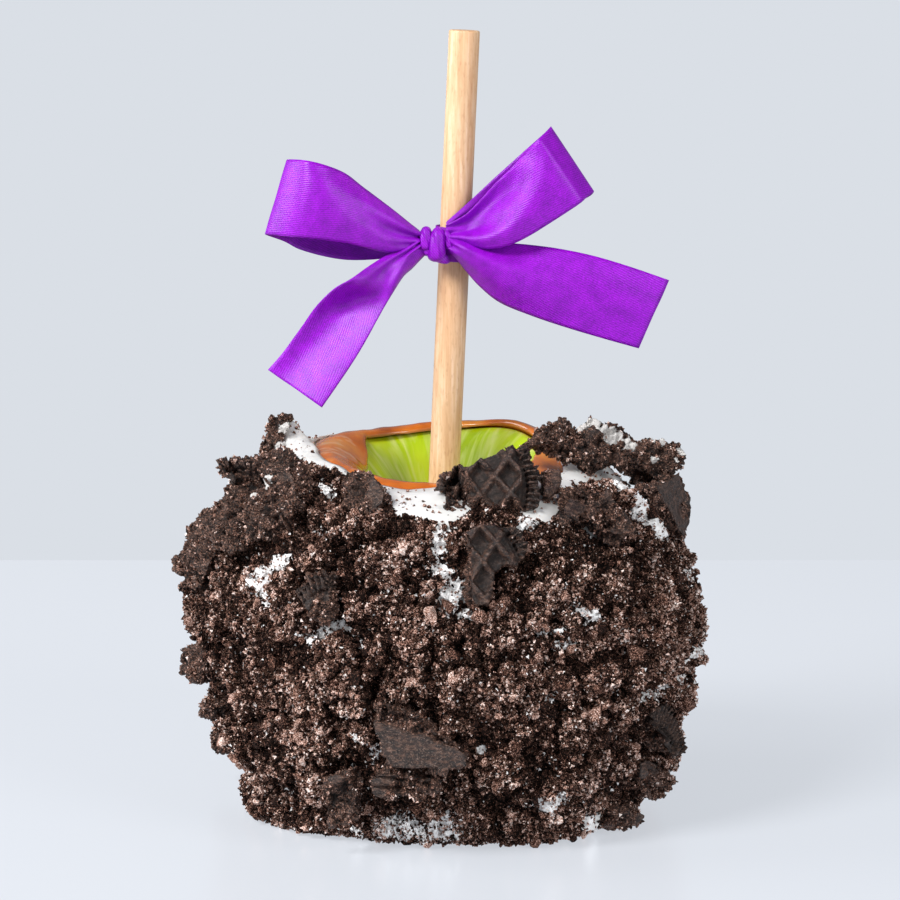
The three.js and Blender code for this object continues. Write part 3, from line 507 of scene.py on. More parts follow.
def crumb_grain():
    """Single crumbs of cocoa biscuit: each has its own tone, from near black to tan, darkened by painted
    shade where it lies in a crevice, and is gritty, with fine flecks partly of its own tone and partly
    painted shade and glints.
    """
    made, tree = material("cocoa_biscuit_crumbs", Roughness=0.75, IOR=1.45, Specular_IOR_Level=0.12)
    place = add(tree, "TexCoord").outputs["Object"]
    tone = add(tree, "Attribute", attribute_name="tone").outputs["Fac"]
    # grit of 0.2 mm: its dark and pale flecks are partly the crumbs' own tone and partly painted shade and
    # glints
    grit = add(tree, "TexNoise", {"Vector": place, "Scale": 4200, "Detail": 2, "Roughness": 0.75})
    shifted = add(tree, "MapRange", {"Value": grit, "From Min": 0.3, "From Max": 0.7, "To Min": -0.52,
                                     "To Max": 0.52})
    both = add(tree, "Math", {0: tone, 1: shifted}, operation="ADD")
    brown = add(tree, "ValToRGB", {"Fac": both},
                [(0.0, "#060302"), (0.25, "#382019"), (0.45, "#88604f"), (0.65, "#c29c8d"),
                 (0.82, "#e4c9bd"), (1.0, "#fff4ee")])
    bump = add(tree, "Bump", {"Height": grit, "Distance": 0.0003, "Strength": 0.7})
    return wired(made, Base_Color=brown, Normal=bump)


def white_grain():
    """Broken bits of the white coating and of the biscuits' filling: matt and nearly white."""
    made, tree = material("white_coating_bits", Roughness=0.6, IOR=1.45)
    place = add(tree, "TexCoord").outputs["Object"]
    grit = add(tree, "TexNoise", {"Vector": place, "Scale": 1800, "Detail": 2})
    white = add(tree, "ValToRGB", {"Fac": grit}, [(0.25, "#a79c96"), (0.42, "#dedad8"), (0.6, "#f4f3f3")])
    return wired(made, Base_Color=white)


def baked_biscuit():
    """Baked cocoa biscuit: smooth dark outer faces with a dusty bloom, gritty brown breaks, and cream
    coloured filling where some sticks to it. Painted shade darkens its cracks, the low places of its
    pattern and the gaps between its ridges."""
    made, tree = material("baked_cocoa_biscuit", Roughness=0.42, IOR=1.45, Specular_IOR_Level=0.42)
    place = add(tree, "TexCoord").outputs["Object"]
    crumbly = add(tree, "Attribute", attribute_name="crumbly").outputs["Fac"]
    painted_shade_factor = add(tree, "Attribute", attribute_name="open").outputs["Fac"]
    cream = add(tree, "Attribute", attribute_name="cream").outputs["Fac"]
    # grit of 0.3 mm
    grit = add(tree, "TexNoise", {"Vector": place, "Scale": 3000, "Detail": 3, "Roughness": 0.75})
    # the dough was rolled, so its marks run one way
    rolled = add(tree, "Mapping", {"Vector": place, "Rotation": (0, math.radians(15), 0),
                                   "Scale": (0.5, 0.7, 1)})
    bloom = add(tree, "TexNoise", {"Vector": rolled, "Scale": 1500, "Detail": 6, "Roughness": 0.8})
    face = add(tree, "ValToRGB", {"Fac": bloom}, [(0.38, "#080403"), (0.5, "#2a1b16"), (0.62, "#614639")])
    flecks = add(tree, "ValToRGB", {"Fac": grit}, [(0.56, "#000000"), (0.66, "#d0d0d0")])
    speckled = add(tree, "Mix", {"Factor": flecks, "A": face, "B": colour("#937b6f")}, data_type="RGBA")
    # painted shade: the faces and the breaks go near black where the open attribute is low
    pressed = add(tree, "Mix", {"Factor": painted_shade_factor, "A": colour("#0d0706"), "B": speckled}, data_type="RGBA")
    broken = add(tree, "ValToRGB", {"Fac": grit},
                 [(0.4, "#060302"), (0.5, "#3e261d"), (0.6, "#8c6553"), (0.7, "#dcbcac")])
    shaded = add(tree, "Mix", {"Factor": painted_shade_factor, "A": colour("#060303"), "B": broken}, data_type="RGBA")
    ragged = add(tree, "Math", {0: crumbly, 1: grit}, operation="ADD")
    edge = add(tree, "ValToRGB", {"Fac": ragged}, [(0.88, "#000000"), (0.94, "#ffffff")])
    baked = add(tree, "Mix", {"Factor": edge, "A": pressed, "B": shaded}, data_type="RGBA")
    creamy = add(tree, "Math", {0: cream, 1: 0.62, 2: grit}, operation="MULTIPLY_ADD")
    crisp = add(tree, "ValToRGB", {"Fac": creamy}, [(0.94, "#000000"), (1.0, "#ffffff")])
    mixed = add(tree, "Mix", {"Factor": crisp, "A": baked, "B": colour("#efebe7")}, data_type="RGBA")
    depth = add(tree, "MapRange", {"Value": crumbly, "To Min": 0.6, "To Max": 1.0})
    bump = add(tree, "Bump", {"Height": grit, "Distance": 0.0006, "Strength": depth})
    return wired(made, Base_Color=mixed, Normal=bump)


def birch():
    """Birch dowel, turned and sanded: pale, with fine straight grain along it and a few pores."""
    made, tree = material("sanded_birch_dowel", Roughness=0.45, IOR=1.5)
    place = add(tree, "TexCoord").outputs["Object"]
    upright = (0, -math.radians(STICK["lean"]), 0)
    straight = add(tree, "Mapping", {"Vector": place, "Rotation": upright, "Scale": (1, 1, 0.07)})
    grain = add(tree, "TexNoise", {"Vector": straight, "Scale": 1400, "Detail": 4, "Roughness": 0.6})
    rings = add(tree, "TexNoise", {"Vector": straight, "Scale": 330, "Detail": 2})
    wood = add(tree, "ValToRGB", {"Fac": grain}, [(0.3, "#cfa27a"), (0.5, "#ddb78f"), (0.7, "#e9caaa")])
    tint = add(tree, "ValToRGB", {"Fac": rings}, [(0.35, "#e3bfa0"), (0.65, "#ffffff")])
    pores = add(tree, "Mapping", {"Vector": place, "Rotation": upright, "Scale": (1, 1, 0.3)})
    dashes = add(tree, "TexNoise", {"Vector": pores, "Scale": 1900, "Detail": 2})
    dark = add(tree, "ValToRGB", {"Fac": dashes}, [(0.3, "#b98c68"), (0.44, "#ffffff")])
    ringed = add(tree, "Mix", {"Factor": 0.35, "A": wood, "B": tint}, data_type="RGBA",
                 blend_type="MULTIPLY")
    mixed = add(tree, "Mix", {"Factor": 0.25, "A": ringed, "B": dark}, data_type="RGBA",
                blend_type="MULTIPLY")
    bump = add(tree, "Bump", {"Height": grain, "Distance": 0.0001, "Strength": 0.3})
    return wired(made, Base_Color=mixed, Normal=bump)


def satin():
    """Polyester satin ribbon, woven: a soft bright band where it bends to the light, fine slanted
    lines of weave, and painted glints on the weave's floats."""
    made, tree = material("woven_purple_satin", Roughness=0.42, IOR=1.5, Specular_IOR_Level=0.52,
                          Specular_Tint=colour("#ecd4ff"), Sheen_Weight=0.04, Sheen_Roughness=0.4,
                          Sheen_Tint=colour("#c77dff"))
    uv = add(tree, "UVMap", uv_map="ribbon")
    # u is millimetres across the ribbon and v along it. The weave's lines are drawn 0.45 mm apart,
    # because the real 0.15 mm is too fine to show.
    slanted = add(tree, "Mapping", {"Vector": uv, "Rotation": (0, 0, math.radians(14))})
    weave = add(tree, "TexWave", {"Vector": slanted, "Scale": 0.7, "Distortion": 1.2, "Detail": 2,
                                  "Detail Scale": 3}, wave_type="BANDS").outputs["Fac"]
    cloud = add(tree, "TexNoise", {"Vector": uv, "Scale": 0.35, "Detail": 4})
    dye = add(tree, "ValToRGB", {"Fac": cloud}, [(0.3, "#8c00bc"), (0.5, "#9c02ce"), (0.7, "#a806da")])
    # painted glints: each of the weave's floats is painted its own brightness, as if it caught the light on
    # its own
    floats = add(tree, "Mapping", {"Vector": uv, "Rotation": (0, 0, math.radians(40)), "Scale": (5, 2.2, 1)})
    painted_glints = add(tree, "TexNoise", {"Vector": floats, "Scale": 1, "Detail": 2})
    painted_glint_dots = add(tree, "ValToRGB", {"Fac": painted_glints}, [(0.35, "#a79fae"), (0.65, "#ffffff")])
    lines = add(tree, "ValToRGB", {"Fac": weave}, [(0.2, "#a898b4"), (0.8, "#ffffff")])
    lined = add(tree, "Mix", {"Factor": 0.45, "A": dye, "B": lines}, data_type="RGBA",
                blend_type="MULTIPLY")
    mixed = add(tree, "Mix", {"Factor": 0.6, "A": lined, "B": painted_glint_dots}, data_type="RGBA",
                blend_type="MULTIPLY")
    bump = add(tree, "Bump", {"Height": weave, "Distance": 0.00005, "Strength": 0.5})
    return wired(made, Base_Color=mixed, Normal=bump)


# ---- the fruit and its coats ----


def drawn_in(p):
    """The foot and the flanks as they set: drawn in or bulging, each way by its own amount."""
    x, y, z = p.T
    side = np.arctan2(x, -y)
    pull = FOOT_PULL * (1 - smooth(z, 2, 19))
    for much, way, wide, low, high in FOOT_PULLS:
        pull += much * (1 - smooth(z, low, high)) * np.exp(-(((side - way) / wide) ** 2))
    heights, right, left = np.array(FLANKS, float).T
    pull -= np.interp(z, heights, right) * np.exp(-(((side - math.pi / 2) / 0.75) ** 2))
    pull -= np.interp(z, heights, left) * np.exp(-(((side + math.pi / 2) / 0.75) ** 2))
    radius = np.maximum(np.hypot(x, y), 1)
    pull = pull * smooth(radius, 20, 36)
    return np.stack([x * (1 - pull / radius), y * (1 - pull / radius), z], -1)


def skin(t):
    """The point of the skin at t and the way it runs, as radius and height."""
    last = len(SKIN) - 1
    at = np.clip(t, 0, 1) * last
    i = np.minimum(at.astype(int), last - 1)
    w = (at - i)[..., None]
    before, a, b, after = SKIN[np.maximum(i - 1, 0)], SKIN[i], SKIN[i + 1], SKIN[np.minimum(i + 2, last)]
    leave, arrive = (b - before) / 2, (after - a) / 2
    cubic, square = 2 * a - 2 * b + leave + arrive, -3 * a + 3 * b - 2 * leave - arrive
    point = ((cubic * w + square) * w + leave) * w + a
    runs = (3 * cubic * w + 2 * square) * w + leave
    return point, runs / np.linalg.norm(runs, axis=-1, keepdims=True)


def settle(p):
    """The stance of the real fruit: everything leans and slopes together."""
    x, y, z = p[..., 0], p[..., 1], p[..., 2]
    slope = (1 - smooth(np.hypot(x, y), *SLOPE_FADES)) * smooth(z, *SLOPE_RISES)
    lift = (FRONT_SLOPE * y - SIDE_SLOPE * x) * slope
    radius, around = np.hypot(x, y), np.degrees(np.arctan2(x, -y))
    for at, wide, high in CREST_SWELLS:
        off = np.abs((around - at + 180) % 360 - 180)
        crest = smooth(radius, 8, 19) * (1 - smooth(radius, 25, 37)) * smooth(z, 56, 66)
        lift = lift + high * np.exp(-((off / wide) ** 2)) * crest
    return np.stack([x + LEAN * (LEAN_MIDDLE - z * smooth(z, 0, HEEL)), y, z + lift], -1)


def on_skin(t, angle, outwards):
    """The point at t and angle, so far outside the skin."""
    point, runs = skin(t)
    radius = np.maximum(point[..., 0] + runs[..., 1] * outwards, 0) * (t > 1e-6) * (t < 1 - 1e-6)
    height = point[..., 1] - runs[..., 0] * outwards
    return settle(np.stack([radius * np.sin(angle), -radius * np.cos(angle), height], -1))


def rim_radius(rim, angle):
    """The radius at which a coat stops, at an angle round from the front."""
    at, radius = np.array(rim, float).T
    return np.interp(np.degrees(angle) % 360, at, radius)


def near_rim(t, angle, rim):
    """0 well outside the rim of a coat, and 1 at it."""
    point, _ = skin(t)
    near = 1 - smooth(point[..., 0] - rim_radius(rim, angle), 0, RIM_TAPER)
    return np.where(point[..., 1] < RIM_HEIGHT, 0, near)


def caramel_at(t):
    """Thickness of the caramel at t."""
    thinned = smooth(t, CREST_T - CARAMEL_THINS[0], CREST_T + CARAMEL_THINS[1])
    return CARAMEL + (CARAMEL_EDGE - CARAMEL) * thinned


def t_at_radius(radius, inner=False):
    """Where the skin has this radius: outside the crest, or inside it, down the hollow."""
    t = np.linspace(CREST_T, 1, 400) if inner else np.linspace(FLANK_T, CREST_T, 400)
    r = skin(t)[0][:, 0]
    return np.interp(-radius, -r, t)


def swellings():
    """The lumps of the crumb coat, each a direction and a height."""
    number = stream(LUMPS["seed"])
    found = []
    for i in range(LUMPS["count"]):
        up = 2 * ((i + 0.5) / LUMPS["count"]) - 1
        turn = i * math.pi * (3 - math.sqrt(5)) + next(number)
        flat = math.sqrt(1 - up * up)
        high = -LUMPS["deep"] + (LUMPS["high"] + LUMPS["deep"]) * next(number)
        found.append(((flat * math.sin(turn), -flat * math.cos(turn), up), high))
    return found


def outwards_from_middle(p):
    """The direction from the fruit's middle through each point."""
    away = p - np.array([0, 0, LEAN_MIDDLE])
    return away / np.linalg.norm(away, axis=-1, keepdims=True)


def swollen(p):
    """Points of the crumb coat with its lumps, as in the CAD."""
    away = outwards_from_middle(p)
    swell = np.zeros(len(p))
    for direction, high in swellings():
        apart = np.degrees(np.arccos(np.clip(away @ np.array(direction), -1, 1))) / LUMPS["width"]
        swell += high * np.exp(-apart * apart)
    return p + away * (swell * smooth(p[:, 2], 0, HEEL))[:, None]


def ball(across, up):
    """A closed ball of even rows, ready to be shaped: its mesh, and for each vertex how far up it is,
    from 0 to 1, and its angle round from the front."""
    bm = bmesh.new()
    bmesh.ops.create_uvsphere(bm, u_segments=across, v_segments=up, radius=1)
    mesh = bpy.data.meshes.new("ball")
    bm.to_mesh(mesh)
    bm.free()
    p = coordinates(mesh)
    return mesh, 1 - np.arccos(np.clip(p[:, 2], -1, 1)) / math.pi, np.arctan2(p[:, 0], -p[:, 1])


def along_skin(share, low, high):
    """t for a share of the way along the skin from low to high, in even steps of length."""
    t = np.linspace(0, 1, 2000)
    steps = np.linalg.norm(np.diff(skin(t)[0], axis=0), axis=1)
    length = np.concatenate([[0], np.cumsum(steps)])
    start, end = np.interp(low, t, length), np.interp(high, t, length)
    return np.interp(start + share * (end - start), length, t)


def shell(across, up, end, outer, inner, outside=0.85, front=0.0, base=0.25):
    """A coat: a sheet from the base up to its rim at end(angle), and back below itself. outer and
    inner give the distance from the skin at t and angle. front crowds its columns towards the shown
    side, and base is the share of its rows that the flat base takes."""
    mesh, rise, angle = ball(across, up)
    angle = angle - front * np.sin(angle)
    out = rise <= outside
    share = np.where(out, rise / outside, (1 - rise) / (1 - outside))
    t = along_skin(np.interp(share, (0, base, 1), (0, 0.25, 1)), 0, end(angle))
    lip = smooth(share, 0.985, 1) ** 2
    middle = (outer(t, angle) + inner(t, angle)) / 2
    away = np.where(out, outer(t, angle), inner(t, angle)) * (1 - lip) + middle * lip
    return mesh, t, angle, out, away


def ragged_round(angle, pace, seed, evaluate=noise.noise):
    """How far a rim strays at each angle: noise that meets itself once round."""
    return np.array([evaluate(Vector((math.cos(a) * pace, math.sin(a) * pace, seed))) for a in angle])


def green_fruit(look):
    """The fruit itself, of which the hollow round the stick shows."""
    mesh, rise, angle = ball(160, 150)
    t = along_skin(rise, 0, 1)
    p = on_skin(t, angle, -caramel_at(t) - GAP)
    flank = smooth(t, CREST_T, 0.85)
    ribs = np.sin(5 * angle + 0.6) * 0.5 * flank * (1 - smooth(t, 0.93, 1))
    p[:, 2] += ribs + rough(p, 9, 2, 3) * 0.35 * flank
    mesh.vertices.foreach_set("co", drawn_in(p).ravel())
    uv = mesh.uv_layers.new(name="round")
    corners = np.empty(len(mesh.loops), int)
    mesh.loops.foreach_get("vertex_index", corners)
    # each face keeps to one side of the seam behind
    around = (angle[corners] / (2 * math.pi)) % 1
    faces = np.repeat(np.arange(len(mesh.polygons)), [len(f.vertices) for f in mesh.polygons])
    highest = np.zeros(len(mesh.polygons))
    np.maximum.at(highest, faces, around)
    around = np.where((highest[faces] > 0.75) & (around < 0.25), around + 1, around)
    uv.data.foreach_set("uv", np.stack([around, t[corners]], 1).ravel())
    return finished("green_fruit", mesh, look, ["fruit"])


def caramel_coat(look):
    """The caramel: its open rim in the hollow is a soft lip with a thin pale edge. Pale streaks of
    painted highlight lie on its left side.
    """

    def end(angle):
        return t_at_radius(rim_radius(CARAMEL_RIM, angle) + 0.3 * ragged_round(angle, 2.2, 4), True)

    mesh, t, angle, out, away = shell(220, 190, end, lambda t, a: 0 * t, lambda t, a: -caramel_at(t))
    p = on_skin(t, angle, away)
    top = smooth(t, 0.5, 0.62)
    p[:, 2] += top * (rough(p, 7, 2, 8) * 0.3 + rough(p, 2.5, 2, 9) * 0.06) * out
    mesh.vertices.foreach_set("co", drawn_in(p).ravel())
    edge = end(angle)
    # painted highlight: pale streaks on the left of the top, stored with the thin edge
    painted_highlight_streaks = smooth(rough(p * [1, 3, 1], 5, 3, 12), 0.42, 0.55) * smooth(-p[:, 0], 12, 20) * 0.28
    put(mesh, "thin", np.maximum(smooth(t - edge, -0.009, -0.002) * 0.9, painted_highlight_streaks * top))
    return finished("caramel_coat", mesh, look, ["caramel"])


def white_coat(look):
    """The white coating: smooth and a little wavy, smeared on the left."""

    def end(angle):
        return t_at_radius(rim_radius(WHITE_RIM, angle) + 0.7 * ragged_round(angle, 5, 9))

    def outer(t, angle):
        return GAP + WHITE + (WHITE_EDGE - WHITE) * near_rim(t, angle, WHITE_RIM)

    mesh, t, angle, out, away = shell(280, 200, end, outer, lambda t, a: GAP + 0 * t)
    p = on_skin(t, angle, away)
    left = smooth(-p[:, 0], 20, 30) * smooth(p[:, 2], 60, 68)
    waves = rough(p, 9, 2, 5) * 0.35 + rough(p, 2.2, 3, 6) * (0.08 + 0.5 * left)
    p += outwards_from_middle(p) * (waves * out * smooth(t, 0.3, 0.5))[:, None]
    for x, y, wide, high in WHITE_HEAPS:
        p[:, 2] += high * np.exp(-((p[:, 0] - x) ** 2 + (p[:, 1] - y) ** 2) / wide ** 2) * out * (t > 0.4)
    mesh.vertices.foreach_set("co", drawn_in(p).ravel())
    return finished("white_coat", mesh, look, ["white_coating"])


# ---- the biscuit pieces ----


def frame_of(piece):
    """Where a piece lies: a matrix from its own axes, with its outer face towards +Z."""
    turn, up = map(math.radians, piece["face"])
    out = Vector((math.sin(turn) * math.cos(up), -math.cos(turn) * math.cos(up), math.sin(up)))
    right = Vector((math.cos(turn), math.sin(turn), 0))
    axes = Matrix((right, out.cross(right), out)).transposed().to_4x4()
    roll = math.radians(piece.get("rim", 0) + piece.get("turn", 0))
    return Matrix.Translation(piece["at"]) @ axes @ Matrix.Rotation(roll, 4, "Z")


def outline_of(piece, seed):
    """The piece's outline before it is rolled: its own, or the CAD's."""
    if "outline" in piece:
        return piece["outline"]
    width, height, _ = piece["size"]
    number = stream(seed)
    if "corners" in piece:
        points = []
        for i in range(piece["corners"]):
            angle = ((i + 0.5 * next(number)) / piece["corners"]) * 2 * math.pi
            reach = 0.5 * (0.86 + 0.26 * next(number))
            points.append((width * reach * math.cos(angle), height * reach * math.sin(angle)))
        return points
    reach = math.asin(height / 2 / BISCUIT_RADIUS)
    inwards = BISCUIT_RADIUS - width / 2
    arc = [-reach + 2 * reach * i / 12 for i in range(13)]
    points = [(BISCUIT_RADIUS * math.cos(a) - inwards, BISCUIT_RADIUS * math.sin(a)) for a in arc]
    for i in (1, 2):
        points.append((-width * (0.36 + 0.14 * next(number)), height * (0.5 - i / 3) * 0.9))
    return points


def extent(piece, seed):
    """The middle and half size of a piece's outline, and half its thickness."""
    points = np.array(outline_of(piece, seed))
    low, high = points.min(0), points.max(0)
    thick = piece["thick"] if "thick" in piece else piece["size"][2]
    return (low + high) / 2, (high - low) / 2, thick / 2


def embossing(x, y, piece):
    """The generic pattern of a biscuit, a raised diamond lattice inside a plain groove and a ridged
    edge: its height, how far the gaps between the ridges are drawn in at the side, and from 0 to 1
    where the ridges' tops and the gaps are."""
    middle = piece.get("centre") or (piece["size"][0] / 2 - BISCUIT_RADIUS, 0)
    from_middle = np.hypot(x - middle[0], y - middle[1])
    around = np.arctan2(y - middle[1], x - middle[0]) * BISCUIT_RADIUS
    inwards = from_middle - (BISCUIT_RADIUS - 0.3)  # 0 at the edge and less than 0 inside it
    a, b = (x + DIAMOND_SQUASH * y) / DIAMOND_PITCH, (x - DIAMOND_SQUASH * y) / DIAMOND_PITCH
    nearest = np.minimum(np.abs(a - np.round(a)), np.abs(b - np.round(b)))
    lattice = DIAMOND_HEIGHT * (1 - smooth(nearest, DIAMOND_LINE * 0.3, DIAMOND_LINE))
    lattice *= 1 - smooth(inwards, -4.4, -3.8)
    groove = -0.8 * smooth(inwards, -4.2, -3.7) * (1 - smooth(inwards, -3, -2.6))
    ring = smooth(inwards, -3.4, -2.9)
    wave = np.cos(around * 2 * math.pi / RIDGE_PITCH)
    ridges = (wave - 1) * ring * piece.get("ribs", 1)
    height = lattice + groove + RIDGE_HEIGHT * ridges
    return height, RIDGE_DEPTH * ridges, ring * (1 + wave) / 2, ring * (1 - wave) / 2


def even_slab(piece, index):
    """A piece's outline as a bevelled slab, with an even fine mesh."""
    _, half, deep = extent(piece, index)
    bm = bmesh.new()
    widen = 1 - 0.25 / min(half)
    corners = [bm.verts.new((x * widen, y * widen, -deep)) for x, y in outline_of(piece, index)]
    made = bmesh.ops.extrude_face_region(bm, geom=[bm.faces.new(corners)])
    top = [v for v in made["geom"] if isinstance(v, bmesh.types.BMVert)]
    bmesh.ops.translate(bm, vec=(0, 0, 2 * deep), verts=top)
    bmesh.ops.recalc_face_normals(bm, faces=bm.faces)
    rims = [e for e in bm.edges if abs(e.verts[0].co.z - e.verts[1].co.z) < 0.01]
    bmesh.ops.bevel(bm, geom=rims, offset=CHAMFER * (0.4 + 0.5 * piece["crumbly"]), segments=2,
                    profile=0.5, affect="EDGES", material=-1)
    slab = bpy.data.meshes.new("slab")
    bm.to_mesh(slab)
    bm.free()
    return with_modifier(slab, "REMESH", mode="VOXEL", voxel_size=0.2 if "embossed" in piece else 0.3)


def blots(p, places, fray, grain, seed):
    """How far in each of some frayed round places a point is: more than 0.2 or so is in it."""
    for x, y, wide in places:
        yield 1.2 - np.hypot(p[:, 0] - x, p[:, 1] - y) / wide + fray * rough(p, grain, 2, seed)


def where_broken(p, face, piece, index):
    """0 to 1: where a piece isn't its smooth baked face but broken and gritty. Moves down the points
    where its top layer has split off."""
    crumbly = piece["crumbly"]
    patchy = smooth(rough(p, 6, 2, index), 0.6 - 1.5 * crumbly, 0.9 - 1.3 * crumbly)
    broken = np.maximum(np.clip(1 - face, 0, 1), patchy * min(1, crumbly * 3))
    if "torn" in piece:
        split = smooth(p[:, 1] + 0.35 * p[:, 0] + rough(p, 3, 2, index), piece["torn"], piece["torn"] + 0.7)
        broken = np.maximum(broken, split)
        p[:, 2] -= split * face * 0.9
    for gone in blots(p, piece.get("worn", []), 0.4, 3, index + 80):
        broken = np.maximum(broken, smooth(gone, 0.15, 0.35))
    return broken


def biscuit_piece(piece, index, look):
    """One broken piece of biscuit, roughened where it broke. Its material reads how crumbly it is, how
    open to the light, which it paints as shade, and where filling sticks to it."""
    deep = extent(piece, index)[2]
    mesh = even_slab(piece, index)
    p = coordinates(mesh)
    normal = np.array([v.normal for v in mesh.vertices])
    face = smooth(normal[:, 2], 0.55, 0.85) * (p[:, 2] > 0)
    broken = where_broken(p, face, piece, index)
    dome, crack = clods(p, 2.1, index)
    facets = chips(p, 6.5, index + 30)
    grit = (dome - 0.7) * 0.5 - 0.5 * crack + facets * 1.6 + chips(p, 2.4, index + 40) * 0.8
    grit += rough(p, 3.4, 2, index + 20) * 0.4 + rough(p, 1.0, 2, index + 50) * 0.34 - 0.5
    # painted shade and light where it broke: darker in the cracks, lighter on the tops of the clods and the
    # raised facets
    painted_light_reach = 1 - (0.75 * crack - 0.5 * (dome - 0.7) - 0.35 * np.minimum(facets, 0.2)) * broken
    bent = rough(p, 8, 2, index + 9) * (0.2 + 0.9 * piece["crumbly"]) + 0.14 * rough(p, 1.1, 3, index + 60)
    for groove in piece.get("grooves", []):
        bent += groove[5] * np.exp(-(spot(p[:, 0], p[:, 1], groove) ** 3)) * (p[:, 2] > 0)
    p += normal * (grit * broken * piece.get("chunky", 1) + bent)[:, None]
    if "embossed" in piece:
        height, sideways, tops, between = embossing(p[:, 0], p[:, 1], piece)
        rubbed = 1 - 0.6 * smooth(rough(p, 5, 3, index + 3), 0.1, 0.5)
        p[:, 2] += height * face * rubbed
        # painted shade in the low places of the pattern, and between the ridges of its edge
        painted_light_reach -= 0.7 * (1 - smooth(height, -0.2, 0.9)) * face * (1 - broken) * (1 - tops)
        painted_light_reach -= 0.7 * between * (1 - face)
        p += normal * [1, 1, 0] * (sideways * (1 - face))[:, None]
        broken *= 1 - 0.3 * smooth(rough(p, 4, 2, index + 90), -0.3, 0.3) * (1 - face)
        broken *= 1 - 0.6 * (tops + between)
    cream = np.zeros(len(p))
    for blot in blots(p, piece.get("cream", []), 0.5, 1.4, index + 70):
        cream = np.maximum(cream, smooth(blot, 0.2, 0.45) * (p[:, 2] > -deep * 0.5))
    p += normal * (0.5 * cream)[:, None]
    mesh.vertices.foreach_set("co", p.ravel())
    put(mesh, "crumbly", broken)
    put(mesh, "cream", cream)
    put(mesh, "open", np.clip(painted_light_reach, 0.05, 1))
    mesh.transform(frame_of(piece))
    p = coordinates(mesh)
    p[:, 2] = np.maximum(p[:, 2], 0.05)  # none reaches into the table
    mesh.vertices.foreach_set("co", p.ravel())
    name = f"biscuit_piece_{index:02d}"
    return finished(name + "_broken", mesh, look, [name])


def beyond(x, y, outline):
    """How far outside an outline each point is, and less than 0 inside it."""
    nearest, inside = np.full(len(x), 1e9), np.zeros(len(x), bool)
    for (ax, ay), (bx, by) in zip(outline, [*outline[1:], outline[0]]):
        wide, high = bx - ax, by - ay
        along = np.clip(((x - ax) * wide + (y - ay) * high) / (wide ** 2 + high ** 2), 0, 1)
        nearest = np.minimum(nearest, np.hypot(x - ax - along * wide, y - ay - along * high))
        if ay != by:
            inside ^= ((ay > y) != (by > y)) & (x < ax + (y - ay) * wide / high)
    return np.where(inside, -nearest, nearest)


def near_pieces(p):
    """For each point: how deep the crumbs are pressed in there, to leave every piece on top, and
    whether a piece covers it."""
    pressed, covered = np.zeros(len(p)), np.zeros(len(p), bool)
    for index, piece in enumerate(PIECES, 1):
        middle, half, deep = extent(piece, index)
        place = frame_of(piece)
        centre = np.array(place @ Vector((*middle, 0)))
        close = np.linalg.norm(p - centre, axis=1) < max(half) * 1.6 + deep
        if not close.any():
            continue
        inverse = np.array(place.inverted())
        local = p[close] @ inverse[:3, :3].T + inverse[:3, 3]
        off = beyond(local[:, 0], local[:, 1], outline_of(piece, index))
        # over the piece the crumbs stop below its outer face, and just round it they leave a gap
        over = local[:, 2] - (deep - PIECE_STANDS_OUT)
        press = np.maximum(over, 0) * (1 - smooth(off, 0.2, 1.6))
        press += GAP_ROUND_PIECE * np.exp(-(((off - 0.6) / 0.7) ** 2)) * (over > -2 * deep)
        pressed[close] = np.maximum(pressed[close], press)
        covered[close] |= (off < -1) & (local[:, 2] > -deep - 4)
    return np.minimum(pressed, 7), covered


# ---- the crumbs ----


def bare_places(p):
    """0 to 1: how much of the white coating shows at each point of the crumb coat."""
    x, y, z = p.T
    fray = rough(p, 3.4, 3, 21) * 0.75 + rough(p, 1.1, 2, 22) * 0.35
    bare = np.zeros(len(p))
    for place in PATCHES:
        q, clean = spot(x, z, place), place[5]
        frayed = fray * (0.25 if clean > 1.1 else 1)
        bare = np.maximum(bare, clean * smooth(1.25 - q + frayed, 0.1, 0.9) * (y < 3) * (q < 2.2))
    # the sides and the back have patches of the same size, at random
    scattered = rough(p, 13, 3, 31) + 0.35 * rough(p, 3, 2, 32)
    return np.maximum(bare, smooth(y, -12, 0) * 0.9 * smooth(scattered, 0.42, 0.62))


def relief_of(p):
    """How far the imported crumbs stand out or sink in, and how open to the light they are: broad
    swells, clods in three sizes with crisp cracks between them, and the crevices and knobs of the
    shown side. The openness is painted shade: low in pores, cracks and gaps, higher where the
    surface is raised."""
    x, y, z = p.T
    (big, gaps), (small, cracks), (tiny, pores) = (clods(p, size, seed) for size, seed in CLODS)
    gaps = gaps * smooth(rough(p, 15, 2, 12), -0.45, 0.25)  # some cracks close up
    relief = 1.7 * (big - 0.72) - 2.8 * gaps + 0.5 * (small - 0.72) - 1.1 * cracks
    relief += chips(p, 6.2, 3) * 1.6 + chips(p, 2.7, 4) * 0.7
    relief += 0.4 * (tiny - 0.7) - 0.7 * pores + rough(p, 18, 2, 3) * 1.2
    uneven = rough(p, 5.5, 4, 4)
    relief += uneven * 1.1 + rough(p, 1.3, 3, 4) * 0.5
    for place in CREASES:
        relief += place[5] * np.exp(-(spot(x, z, place) ** 3)) * (y < 0)
    # painted shade: darker in the pores, cracks and gaps, a little lighter where the surface is raised
    return relief, np.clip(1 - 0.7 * pores - 0.5 * cracks - 0.75 * gaps + 0.3 * uneven, 0.04, 1.1)


